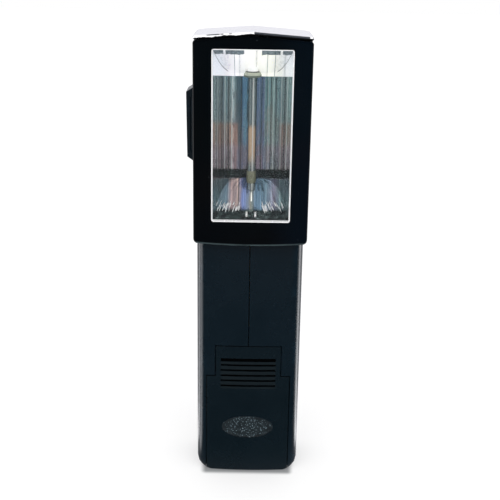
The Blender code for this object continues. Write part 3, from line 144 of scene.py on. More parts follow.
class Shade:
    """A node tree under construction, of a material, the world or a node group.

    Args:
        tree: The tree, which is emptied.
        output: Type of the output node.
    """

    def __init__(self, tree: bpy.types.NodeTree, output: str = "ShaderNodeOutputMaterial") -> None:
        self.tree = tree
        tree.nodes.clear()
        self.output = tree.nodes.new(output)
        self.coordinates: Term | None = None

    def node(self, kind: str, settings: dict | None = None, sockets: dict | None = None,
             out: int | str = 0) -> Term:
        """Any node.

        Args:
            kind: The node's type.
            settings: Its settings, set first; "stops" are a ramp's places and colours.
            sockets: Values or links of its inputs, by name or number.
            out: The output that is wanted.

        Returns:
            That output.
        """
        made = self.tree.nodes.new(kind)
        for name, value in (settings or {}).items():
            if name == "stops":
                self.fill_ramp(made.color_ramp, value)
            else:
                setattr(made, name, value)
        for key, value in (sockets or {}).items():
            if isinstance(value, Term):
                self.tree.links.new(value.socket, made.inputs[key])
            else:
                made.inputs[key].default_value = value
        return Term(self, made.outputs[out])

    @staticmethod
    def fill_ramp(ramp: bpy.types.ColorRamp, stops: Sequence[tuple[float, Colour]]) -> None:
        """Set a ramp's stops.

        Args:
            ramp: The ramp.
            stops: Pairs of place and colour, in rising order.
        """
        while len(ramp.elements) < len(stops):
            ramp.elements.new(1.0)
        for element, (place, colour) in zip(ramp.elements, stops):
            element.position = place
            element.color = (*colour, 1.0)

    def place(self) -> Term:
        """Object coordinates, which stay with the piece."""
        if self.coordinates is None:
            self.coordinates = self.node("ShaderNodeTexCoord", out="Object")
        return self.coordinates

    def split(self, vector: Term) -> tuple[Term, ...]:
        """The three parts of a vector."""
        parts = self.node("ShaderNodeSeparateXYZ", {}, {0: vector}).socket.node.outputs
        return tuple(Term(self, part) for part in parts)

    def axes(self) -> tuple[Term, ...]:
        """The three object coordinates, in metres."""
        return self.split(self.place())

    def ray(self, fact: str) -> Term:
        """A fact of the ray under way, such as "Is Camera Ray" or "Ray Depth"."""
        return self.node("ShaderNodeLightPath", out=fact)

    def stretched(self, scale: Spot, shift: Spot = BLACK, turn: Spot = BLACK) -> Term:
        """Object coordinates scaled along each axis, for streaks.

        Args:
            scale: Scale along each axis.
            shift: Shift along each axis.
            turn: Turn about each axis in radians.

        Returns:
            The coordinates.
        """
        sockets = {0: self.place(), "Location": shift, "Rotation": turn, "Scale": scale}
        return self.node("ShaderNodeMapping", {}, sockets)

    def noise(self, scale: float = 1.0, detail: float = 2.0, at: Term | None = None,
              roughness: float = 0.5, distortion: float = 0.0) -> Term:
        """Noise between 0 and 1.

        Args:
            scale: Waves in a metre, or on stretched coordinates.
            detail: Layers of finer noise.
            at: Coordinates, the object's by default.
            roughness: Weight of the finer layers.
            distortion: How much the pattern is warped.

        Returns:
            The noise value.
        """
        sockets = {"Vector": at or self.place(), "Scale": scale, "Detail": detail,
                   "Roughness": roughness, "Distortion": distortion}
        return self.node("ShaderNodeTexNoise", {}, sockets)

    def cells(self, scale: float) -> Term:
        """Distance to the nearest of points strewn at random, for dust and specks."""
        return self.node("ShaderNodeTexVoronoi", {"feature": "F1"},
                         {"Vector": self.place(), "Scale": scale}, "Distance")

    def mix(self, share: "Term | float", first: "Term | Colour", second: "Term | Colour",
            blend: str = "MIX") -> Term:
        """Two colours mixed.

        Args:
            share: Weight of the second colour.
            first: First colour.
            second: Second colour.
            blend: Way of blending.

        Returns:
            The mixed colour.
        """
        full = [c if isinstance(c, Term) else (*c, 1.0) for c in (first, second)]
        settings = {"data_type": "RGBA", "blend_type": blend}
        return self.node("ShaderNodeMix", settings, {0: share, 6: full[0], 7: full[1]}, 2)

    def product(self, first: "Term | Colour", second: "Term | Colour") -> Term:
        """Two colours multiplied."""
        return self.mix(1.0, first, second, "MULTIPLY")

    def ramp(self, value: Term, stops: Sequence[tuple[float, Colour]]) -> Term:
        """A colour looked up by a value, between stops of place and colour."""
        return self.node("ShaderNodeValToRGB", {"stops": stops}, {0: value})

    def bump(self, height: Term, depth: float, strength: float = 1.0) -> Term:
        """A normal bent by a height.

        Args:
            height: Height between 0 and 1.
            depth: What a height of 1 is in metres.
            strength: Share of the effect.

        Returns:
            The normal.
        """
        return self.node("ShaderNodeBump", {}, {"Height": height, "Distance": depth, "Strength": strength})

    def surface(self, shader: Term) -> None:
        """Join a shader to the output."""
        self.tree.links.new(shader.socket, self.output.inputs[0])

    def principled(self, **sockets: "Term | float | Colour") -> None:
        """The Principled shader, joined to the output.

        Args:
            sockets: Values or links of its sockets, with _ for a space in a name.
        """
        full = {}
        for name, value in sockets.items():
            if isinstance(value, tuple) and len(value) == 3:
                value = (*value, 1.0)
            full[name.replace("_", " ")] = value
        self.surface(self.node("ShaderNodeBsdfPrincipled", {}, full))


# -------------------------------------------------------------------- finishes

def toned(colour: Colour, share: float) -> Colour:
    """A colour made darker or lighter, no part of it above 1."""
    return tuple(min(1.0, part * share) for part in colour)


@dataclass(frozen=True)
class Finish:
    """What every finish has: its own name and the record's slot it belongs to."""

    name: str
    slot: str

    def material(self) -> bpy.types.Material:
        """A new material with this finish.

        Returns:
            The material.
        """
        material = bpy.data.materials.new(self.name)
        material.use_nodes = True
        self.paint(Shade(material.node_tree))
        return material

    def paint(self, shade: Shade) -> None:
        """Fill a material's tree; each finish has its own way."""
        raise NotImplementedError


@dataclass(frozen=True)
class SatinPlastic(Finish):
    """Moulded blue-black plastic with a fine grain, cloudy gloss and rubbed places."""

    colour: Colour = (0.0022, 0.0078, 0.0130)
    roughness: float = 0.27
    grain: float = 2600.0
    depth: float = 0.000012
    rub: float = 0.35
    specular: float = 0.40

    def paint(self, shade: Shade) -> None:
        """Clouds, grain and pale specks, rubbed towards the sides.

        Args:
            shade: The material's tree.
        """
        cloud = shade.noise(45.0, 4.0, roughness=0.6)
        fine = shade.noise(self.grain, 3.0)
        speck = shade.cells(900.0).step(0.16, 0.05) * shade.noise(260.0, 2.0).step(0.56, 0.66)
        x, _, _ = shade.axes()
        rubbed = abs(x).step(0.0150, 0.0185) * shade.noise(160.0, 5.0).step(0.50, 0.72) * self.rub
        pale = tuple(min(1.0, part * 5.0 + 0.02) for part in self.colour)
        base = shade.mix(cloud, toned(self.colour, 0.62), toned(self.colour, 1.35))
        base = shade.mix(speck * 0.5, base, pale)
        base = shade.mix(rubbed, base, toned(self.colour, 3.2))
        height = fine * 0.7 + cloud * 0.3
        shade.principled(Base_Color=base, Roughness=cloud * 0.16 + (self.roughness - 0.08) - rubbed * 0.12,
                         Specular_IOR_Level=self.specular, Normal=shade.bump(height, self.depth, 0.7))


@dataclass(frozen=True)
class ScuffedOval(Finish):
    """Thumb place of the door, rubbed pale and flecked."""

    def paint(self, shade: Shade) -> None:
        """Rubbed ground with paler clouds and flecks.

        Args:
            shade: The material's tree.
        """
        cloud = shade.noise(420.0, 4.0, roughness=0.6)
        fine = shade.noise(1500.0, 4.0, roughness=0.75)
        fleck = fine.step(0.60, 0.68) * cloud.step(0.42, 0.58)
        base = shade.mix(fine, (0.001, 0.004, 0.006), (0.011, 0.021, 0.027))
        base = shade.mix(cloud.step(0.40, 0.66) * 0.6, base, (0.013, 0.024, 0.031))
        base = shade.mix(fleck * 0.8, base, (0.30, 0.40, 0.45))
        shade.principled(Base_Color=base, Roughness=fine * 0.3 + 0.35,
                         Normal=shade.bump(fine, 0.00012, 0.8))


@dataclass(frozen=True)
class GlossPlastic(Finish):
    """Polished black plastic with hair-fine wipe marks and a few dust specks."""

    colour: Colour = (0.0006, 0.0010, 0.0014)
    roughness: float = 0.10
    specular: float = 0.10

    def paint(self, shade: Shade) -> None:
        """Wipe marks, dust, a painted bluer sheen on the right side and a painted pale highlight along the
        head's lower edge.

        Args:
            shade: The material's tree.
        """
        cloud = shade.noise(30.0, 3.0)
        wipe = shade.noise(1.0, 3.0, shade.stretched((160.0, 160.0, 900.0), turn=(0.0, 0.5, 0.0)))
        dust = shade.cells(700.0).step(0.10, 0.03) * shade.noise(210.0, 1.0).step(0.58, 0.66)
        base = shade.mix(cloud, self.colour, toned(self.colour, 1.9))
        base = shade.mix(dust * 0.6, base, (0.09, 0.11, 0.12))
        x, _, z = shade.axes()
        # painted sheen: the right side is painted bluer and lighter, standing in for reflected light
        base = shade.mix(x.step(0.004, 0.018) * 0.5, base, (0.0010, 0.0035, 0.0075))
        # painted highlight: a pale line along the head's lower edge, standing in for the floor reflected in
        # its rounding, broken up by noise
        sag = 0.0957 - (1.0 - x * x / 0.000350) * 0.0007
        chin_highlight = (z - sag).step(0.0009, 0.0005) * (shade.noise(180.0, 3.0).step(0.30, 0.55) * 0.5 + 0.5)
        base = shade.mix(chin_highlight * 0.9, base, (0.040, 0.058, 0.062))
        rough = self.roughness + wipe.step(0.55, 0.8) * 0.07 + dust * 0.3
        shade.principled(Base_Color=base, Roughness=rough, Specular_IOR_Level=self.specular,
                         Normal=shade.bump(cloud, 0.00006, 0.25))


@dataclass(frozen=True)
class Plated(Finish):
    """Bright plated plastic, faintly clouded, with a painted glow where glow is set."""

    colour: Colour = (0.875, 0.875, 0.915)
    roughness: float = 0.14
    metallic: float = 0.9
    glow: float = 0.0

    def paint(self, shade: Shade) -> None:
        """Clouds and faint upright marks.

        Args:
            shade: The material's tree.
        """
        cloud = shade.noise(60.0, 4.0)
        mark = shade.noise(1.0, 2.0, shade.stretched((1400.0, 90.0, 90.0))).step(0.62, 0.78)
        base = shade.mix(cloud, self.colour, toned(self.colour, 0.965))
        base = shade.mix(mark * 0.25, base, (0.62, 0.64, 0.70))
        # painted light: Emission of strength glow makes the part glow though it is no lamp
        shade.principled(Base_Color=base, Metallic=self.metallic,
                         Roughness=self.roughness + cloud * 0.05 + mark * 0.08,
                         Normal=shade.bump(cloud, 0.00003, 0.3),
                         Emission_Color=(1.0, 0.995, 0.96), Emission_Strength=self.glow)


@dataclass(frozen=True)
class PlatedTop(Finish):
    """Bright plating of the cap, with painted shade: greyer along its sides and back, where it rolls over."""

    colour: Colour = (0.93, 0.93, 0.955)
    half: float = 0.0160
    deep: float = 0.0080
    corner: float = 0.0045

    def paint(self, shade: Shade) -> None:
        """Clouds and marks inside a painted grey shade outline, with a short seam at the back.

        Args:
            shade: The material's tree.
        """
        x, y, _ = shade.axes()
        cloud = shade.noise(60.0, 4.0)
        mark = shade.noise(1.0, 2.0, shade.stretched((1400.0, 90.0, 90.0))).step(0.62, 0.78)
        across = (abs(x) - self.half).at_least(0.0)
        behind = (y - self.deep).at_least(0.0)
        inward = self.corner - across.beside(behind)
        # painted shade: a grey band along the rolled sides and back of the cap
        outline = (inward - behind * 0.15 - cloud * 0.0002).step(0.00050, 0.00025)
        seam = x.near(0.0002, 0.00035, 0.00015) * y.step(0.0085, 0.0095)
        base = shade.mix(cloud, self.colour, toned(self.colour, 0.965))
        base = shade.mix(mark * 0.2, base, (0.66, 0.68, 0.74))
        base = shade.mix(outline.at_least(seam * 0.8), base, (0.60, 0.60, 0.64))
        shade.principled(Base_Color=base, Metallic=0.9, Roughness=cloud * 0.05 + mark * 0.08 + 0.14,
                         Normal=shade.bump(cloud, 0.00003, 0.3))


@dataclass(frozen=True)
class PlatedFront(Finish):
    """Front edge of the plated cap: a painted ragged bright reflection on the left, a painted dark reflection
    on the right.
    """

    def paint(self, shade: Shade) -> None:
        """Painted ragged bright reflection with dark gaps under it, and one painted glint near the right end.

        Args:
            shade: The material's tree.
        """
        x, _, z = shade.axes()
        rag = shade.noise(1.0, 3.0, shade.stretched((420.0, 1.0, 1.0)), 0.7)
        deep = z + abs(x) * 0.0732 - 0.1691
        wave = shade.noise(1.0, 1.0, shade.stretched((130.0, 1.0, 1.0), (0.6, 0.0, 0.0)))
        ragged_level = deep + (wave - 0.5) * 0.0026 + (rag - 0.5) * 0.0010
        # painted reflection: the left half is painted bright, with a ragged lower edge
        bright = (x < 0.0003) * ragged_level.step(0.0003, 0.0004)
        reflection_gap = shade.noise(1.0, 2.0, shade.stretched((210.0, 1.0, 1.0), (0.3, 0.0, 0.0))).step(0.46, 0.52)
        bright = bright * (1.0 - deep.step(0.00082, 0.00092) * reflection_gap * x.near(-0.0100, 0.0065, 0.0050))
        # painted glint near the right end
        glint = x.near(0.0196, 0.0006, 0.0004) * deep.step(0.0006, 0.0008)
        # painted dark reflection: elsewhere the edge is painted near black low down and dark grey higher up
        under = shade.mix(deep.step(0.0005, 0.0008), (0.0010, 0.0012, 0.0016), (0.045, 0.050, 0.062))
        base = shade.mix(bright.at_least(glint), under, (0.97, 0.97, 0.98))
        shade.principled(Base_Color=base, Metallic=0.1, Roughness=rag * 0.2 + 0.15)


class Wall(Enum):
    """The faces of the reflector, each with its own look."""

    TROUGH = 0
    TOP = 1
    LOW = 2


@dataclass(frozen=True)
class FlutedMirror(Finish):
    """Formed bright sheet with drawn streaks, whose colour holds painted reflections in faint tints, lines
    and bands; lengths in metres.
    """

    wall: Wall = Wall.TROUGH
    width: float = 0.028
    pink_low: Point = (0.1375, 0.1357)
    mauve_low: Point = (0.1300, 0.1270)
    bright_lines: tuple[float, ...] = (-0.0122, -0.0098, -0.0073, 0.00455, 0.0058, 0.0077, 0.0104, 0.0123)
    dull_lines: tuple[float, ...] = (-0.0108, -0.0084, -0.0040, 0.0034, 0.0068, 0.0086, 0.0115)
    wall_lines: tuple[float, ...] = (-0.0064, 0.0051, 0.0078)
    glow: float = 0.42

    def paint(self, shade: Shade) -> None:
        """The look of the finish's own wall over drawn streaks.

        Args:
            shade: The material's tree.
        """
        streak = shade.noise(1.0, 3.0, shade.stretched((900.0, 500.0, 7.0)), 0.7)
        look = {Wall.TROUGH: self.trough, Wall.TOP: self.top, Wall.LOW: self.low}[self.wall]
        shade.principled(Normal=shade.bump(streak, 0.00003, 0.2), **look(shade, streak))

    def across(self, shade: Shade, sway: float = 0.0) -> Term:
        """Place from 0 at the window's left to 1 at its right.

        Args:
            shade: The material's tree.
            sway: How far wide clouds push it to and fro.

        Returns:
            The place.
        """
        x, _, _ = shade.axes()
        across = x / self.width + 0.5
        if not sway:
            return across
        wide = shade.noise(1.0, 1.0, shade.stretched((260.0, 200.0, 12.0), (0.3, 0.0, 0.0)))
        return across + (wide - 0.5) * sway

    def mottle(self, shade: Shade) -> Term:
        """Noise of the dark mottled bands."""
        return shade.noise(1.0, 3.0, shade.stretched((420.0, 420.0, 1300.0)), 0.7, 0.8)

    def dark(self, shade: Shade, mottle: Term) -> Term:
        """Colour of the dark mottled bands, a painted dark reflection."""
        return shade.ramp(mottle, [
            (0.40, (0.004, 0.008, 0.008)), (0.52, (0.030, 0.048, 0.048)), (0.62, (0.12, 0.17, 0.165)),
            (0.70, (0.30, 0.36, 0.35))])

    def white(self, shade: Shade) -> Term:
        """Colour of the bright end wall and of its picture in the trough: a painted white reflection.

        Args:
            shade: The material's tree.

        Returns:
            The colour, with thin dark lines.
        """
        x, _, _ = shade.axes()
        reflected_tint = shade.ramp(self.across(shade, 0.2), [
            (0.02, (0.84, 0.88, 0.95)), (0.22, (0.95, 0.93, 0.98)), (0.50, (1.0, 0.995, 0.95)),
            (0.72, (0.98, 0.97, 0.88)), (0.98, (0.86, 0.90, 0.95))])
        thin = shade.noise(1.0, 0.0, shade.stretched((700.0, 1.0, 1.0), (0.7, 0.0, 0.0)))
        line = thin.step(0.69, 0.72) * 0.4
        for middle in self.wall_lines:
            line = line.at_least(x.near(middle, 0.00022, 0.00012) * 0.8)
        return shade.mix(line, reflected_tint, (0.30, 0.33, 0.36))

    def lower(self, shade: Shade) -> Term:
        """Colour of the lower wall and of its picture in the trough: a painted reflection.

        Args:
            shade: The material's tree.

        Returns:
            The colour: a painted reflection of tinted patches under drawn light and dark lines.
        """
        reflected_tint = shade.ramp(self.across(shade, 0.06), [
            (0.02, (0.40, 0.56, 0.58)), (0.19, (0.34, 0.50, 0.58)), (0.24, (0.86, 0.62, 0.58)),
            (0.34, (0.92, 0.70, 0.62)), (0.39, (0.34, 0.46, 0.92)), (0.46, (0.44, 0.54, 0.80)),
            (0.50, (0.52, 0.52, 0.42)), (0.56, (0.26, 0.44, 0.64)), (0.70, (0.34, 0.52, 0.66)),
            (0.80, (0.58, 0.54, 0.74)), (0.88, (0.36, 0.54, 0.58)), (0.98, (0.44, 0.60, 0.60))])
        drawn = shade.noise(1.0, 3.0, shade.stretched((1100.0, 10.0, 8.0), (0.2, 0.0, 0.0)), 0.75)
        light = shade.ramp(drawn, [
            (0.34, (0.10, 0.11, 0.12)), (0.43, (0.55, 0.57, 0.60)), (0.47, (0.22, 0.24, 0.26)),
            (0.52, (0.60, 0.62, 0.64)), (0.56, (0.26, 0.28, 0.30)), (0.60, (0.90, 0.90, 0.90)),
            (0.66, (0.34, 0.35, 0.37))])
        return shade.product(reflected_tint, light)

    def columns(self, shade: Shade, streak: Term) -> Term:
        """Colour of the trough's columns, a painted reflection in tints, pinker and then mauve further down.

        Args:
            shade: The material's tree.
            streak: The drawn streaks.

        Returns:
            The colour.
        """
        x, y, z = shade.axes()
        level, across = z + y * 0.18, self.across(shade)
        reflected_tint = shade.ramp(self.across(shade, 0.03), [
            (0.00, (0.68, 0.82, 0.82)), (0.28, (0.66, 0.82, 0.84)), (0.31, (0.34, 0.46, 0.52)),
            (0.365, (0.34, 0.46, 0.56)), (0.38, (0.36, 0.62, 0.96)), (0.43, (0.44, 0.72, 1.00)),
            (0.445, (0.72, 0.98, 1.00)), (0.47, (0.90, 0.92, 0.86)), (0.55, (0.30, 0.38, 0.42)),
            (0.565, (0.62, 0.70, 0.98)), (0.655, (0.62, 0.72, 0.96)), (0.67, (0.66, 0.96, 0.92)),
            (1.00, (0.74, 0.94, 0.92))])
        light = shade.ramp(streak, [
            (0.34, (0.36, 0.38, 0.40)), (0.42, (0.92, 0.94, 0.95)), (0.455, (1.0, 1.0, 1.0)),
            (0.485, (0.46, 0.49, 0.52)), (0.52, (0.70, 0.73, 0.76)), (0.55, (1.0, 1.0, 1.0)),
            (0.585, (0.48, 0.50, 0.53)), (0.64, (1.0, 0.99, 0.97))])
        base = shade.product(reflected_tint, light)
        blue = across.step(0.370, 0.385) * across.step(0.445, 0.430)
        base = shade.mix(blue * 0.6, base, (0.52, 0.78, 1.00))
        sides = across.step(0.34, 0.29).at_least(across.step(0.83, 0.88))
        parts = shade.noise(1.0, 2.0, shade.stretched((330.0, 1.0, 1.0)))
        pink = level.step(*self.pink_low) * sides * parts.step(0.36, 0.46)
        base = shade.mix(pink * 0.9, base, shade.product((1.0, 0.72, 0.60), light))
        mauve = level.step(*self.mauve_low)
        return shade.mix(mauve * 0.6, base, shade.product((0.84, 0.76, 0.88), light))

    def trough(self, shade: Shade, streak: Term) -> dict[str, Term]:
        """Look of the trough: painted reflections in columns and lines, a painted dark band along the crease,
        and painted pictures of both end walls.

        Args:
            shade: The material's tree.
            streak: The drawn streaks.

        Returns:
            Values of the shader's sockets.
        """
        x, y, z = shade.axes()
        aside = abs(self.across(shade) - 0.5).step(0.14, 0.30)
        bright, dull = aside * 0.0, aside * 0.0
        # painted highlight lines and painted dark lines along the flutes
        for middle in self.bright_lines:
            bright = bright.at_least(x.near(middle, 0.00022, 0.00007))
        for middle in self.dull_lines:
            dull = dull.at_least(x.near(middle, 0.00030, 0.00012))
        parts = shade.noise(1.0, 2.0, shade.stretched((330.0, 1.0, 1.0)))
        bright = bright * parts.step(0.35, 0.50)
        base = shade.mix(dull * 0.75, self.columns(shade, streak), (0.09, 0.12, 0.14))
        base = shade.mix(bright * 0.8, base, (0.88, 0.98, 0.96))
        mottle = self.mottle(shade)
        bend = z + y * 0.22 + (mottle - 0.5) * 0.0006
        foot = bend.step(0.1163, 0.1157)
        base = shade.mix(foot, base, self.lower(shade))
        # painted dark reflection: a dark mottled band along the crease above the lower wall
        crease = bend.step(0.1199, 0.1193) * bend.step(0.1158, 0.1164)
        base = shade.mix(crease, base, self.dark(shade, mottle))
        # painted white reflection of the upper end wall in the trough, which also takes the painted glow
        top = (z + y * 0.126).step(0.15345, 0.1536)
        white = self.white(shade)
        base = shade.mix(top, base, white)
        # painted shade: a thin dark line where the trough meets the upper end wall
        fold = (z + y * 0.664).step(0.15425, 0.15440) * abs(x).step(0.0084, 0.0092)
        base = shade.mix(fold * 0.85, base, (0.10, 0.12, 0.13))
        duller = aside * (1.0 - top - foot) * (bright * 0.2 + 0.20)
        return {"Base_Color": base, "Roughness": streak * 0.08 + 0.05 + top * 0.2,
                "Metallic": 0.96 - top * 0.88 - foot * 0.36 - duller, **self.shine(shade, top, white)}

    def top(self, shade: Shade, streak: Term) -> dict[str, Term]:
        """Look of the upper end wall: a painted white reflection with painted dark ragged blocks along its
        mouth.

        Args:
            shade: The material's tree.
            streak: The drawn streaks.

        Returns:
            Values of the shader's sockets.
        """
        x, _, z = shade.axes()
        # painted dark reflection in ragged blocks along the wall's mouth
        ragged = z + (shade.noise(1.0, 2.0, shade.stretched((500.0, 1.0, 1.0))) - 0.5) * 0.0012
        apart = abs(x).step(0.0028, 0.0032) * (1.0 - abs(x).near(0.0098, 0.0005, 0.0003))
        block = ragged.step(0.1622, 0.1624) * apart
        white = shade.mix(block * 0.9, self.white(shade), (0.045, 0.085, 0.105))
        return {"Base_Color": white, "Roughness": streak * 0.05 + 0.25, "Metallic": 0.06,
                **self.shine(shade, 1.0, white)}

    def low(self, shade: Shade, streak: Term) -> dict[str, Term]:
        """Look of the lower end wall: painted reflections in streaks, a painted dark front band, a painted
        light line from the tube and two bright spots.

        Args:
            shade: The material's tree.
            streak: The drawn streaks.

        Returns:
            Values of the shader's sockets.
        """
        x, y, z = shade.axes()
        # painted reflection of the tube: a white line down the middle of the wall
        beam = x.near(0.0002, 0.00030, 0.00012) * (y < -0.0040) * (y > -0.0078)
        base = shade.mix(beam, self.lower(shade), WHITE)
        spot = abs(x - 0.0001).near(0.0016, 0.00042, 0.00025)
        # painted dark reflection along the front of the wall
        base = shade.mix(z.step(0.1074, 0.1066), base, self.dark(shade, self.mottle(shade)))
        base = shade.mix(spot * z.step(0.1066, 0.1062) * z.step(0.1048, 0.1052), base, WHITE)
        return {"Base_Color": base, "Roughness": streak * 0.06 + 0.05, "Metallic": 0.80}

    def shine(self, shade: Shade, share: "Term | float", white: Term) -> dict[str, Term]:
        """Painted glow of the bright end wall, strongest in its middle, though the wall is no lamp.

        Args:
            shade: The material's tree.
            share: Where the wall or its picture is.
            white: The wall's colour.

        Returns:
            Values of the shader's sockets.
        """
        x, _, _ = shade.axes()
        middle = abs(x).step(0.0100, 0.0055) * 0.62 + 0.38
        # painted light: Emission lifts the white wall and its picture in the trough
        return {"Emission_Color": shade.mix(middle * share, BLACK, white), "Emission_Strength": self.glow}


@dataclass(frozen=True)
class TubeGlass(Finish):
    """Clear tube with painted reflections: dark along its edges, a painted light line and a painted warm
    length.
    """

    def paint(self, shade: Shade) -> None:
        """Grey streaks, a painted light line, a painted warm length and painted dark edges.

        Args:
            shade: The material's tree.
        """
        x, _, z = shade.axes()
        streak = shade.noise(1.0, 2.0, shade.stretched((1500.0, 1500.0, 6.0)))
        # painted reflections: dark edges, a light line and a warm length, placed by the tube's own
        # coordinates
        edge = abs(x).step(0.00095, 0.0014)
        line = x.near(0.0003, 0.00030, 0.00014)
        warm = z.step(0.1372, 0.1350) * z.step(0.1200, 0.1270)
        base = shade.mix(streak.step(0.35, 0.65), (0.13, 0.18, 0.19), (0.30, 0.36, 0.37))
        base = shade.mix(warm * 0.8, base, (0.72, 0.50, 0.32))
        base = shade.mix(line * 0.8, base, (0.78, 0.80, 0.78))
        base = shade.mix(edge, base, (0.030, 0.045, 0.050))
        shade.principled(Base_Color=base, Alpha=edge * 0.3 + 0.55, Roughness=streak * 0.1 + 0.05)


@dataclass(frozen=True)
class ClearPane(Finish):
    """Clear plastic or glass seen through, with a trace of dust."""

    colour: Colour = (0.90, 0.94, 0.97)
    alpha: float = 0.06
    roughness: float = 0.04
    specular: float = 0.5

    def paint(self, shade: Shade) -> None:
        """Haze that is nearly clear.

        Args:
            shade: The material's tree.
        """
        haze = shade.noise(80.0, 4.0)
        shade.principled(Base_Color=shade.mix(haze, self.colour, toned(self.colour, 0.92)),
                         Alpha=haze * 0.3 * self.alpha + 0.85 * self.alpha,
                         Roughness=self.roughness + haze * 0.03, Specular_IOR_Level=self.specular)


@dataclass(frozen=True)
class Rubber(Finish):
    """Soft moulded rubber with a dull, dusty skin."""

    colour: Colour = (0.20, 0.215, 0.165)
    roughness: float = 0.55

    def paint(self, shade: Shade) -> None:
        """Dusty clouds over a fine grain.

        Args:
            shade: The material's tree.
        """
        cloud = shade.noise(700.0, 4.0)
        grain = shade.noise(3000.0, 2.0)
        base = shade.mix(cloud, toned(self.colour, 0.6), toned(self.colour, 1.5))
        shade.principled(Base_Color=base, Roughness=cloud * 0.2 + self.roughness - 0.1,
                         Normal=shade.bump(grain, 0.00003, 0.5))


@dataclass(frozen=True)
class BareMetal(Finish):
    """Rolled, plated or anodised metal with fine lines along one direction."""

    colour: Colour = (0.56, 0.56, 0.54)
    roughness: float = 0.28
    lines: Spot = (300.0, 300.0, 9000.0)
    stain: Colour = (0.30, 0.27, 0.23)

    def paint(self, shade: Shade) -> None:
        """Drawn lines with duller stains.

        Args:
            shade: The material's tree.
        """
        line = shade.noise(1.0, 3.0, shade.stretched(self.lines))
        cloud = shade.noise(220.0, 4.0)
        base = shade.mix(line, toned(self.colour, 0.80), toned(self.colour, 1.15))
        base = shade.mix(cloud.step(0.58, 0.76) * 0.5, base, self.stain)
        shade.principled(Base_Color=base, Metallic=0.95,
                         Roughness=line * 0.16 + cloud * 0.1 + self.roughness - 0.1,
                         Normal=shade.bump(line, 0.00001, 0.5))


@dataclass(frozen=True)
class InnerStuff(Finish):
    """Stuff of the inner pieces: sleeve, board, ferrite, tape or amber, with grain and bands."""

    colour: Colour = (0.1, 0.1, 0.1)
    second: Colour = (0.12, 0.12, 0.12)
    roughness: float = 0.4
    bands: Spot = (400.0, 400.0, 400.0)
    depth: float = 0.00003

    def paint(self, shade: Shade) -> None:
        """Bands of two colours under darker clouds.

        Args:
            shade: The material's tree.
        """
        band = shade.noise(1.0, 3.0, shade.stretched(self.bands))
        cloud = shade.noise(180.0, 4.0)
        base = shade.mix(band.step(0.42, 0.60), self.colour, self.second)
        base = shade.mix(cloud.step(0.55, 0.8) * 0.3, base, toned(self.colour, 0.6))
        shade.principled(Base_Color=base, Roughness=cloud * 0.2 + self.roughness - 0.1,
                         Normal=shade.bump(band, self.depth, 0.5))


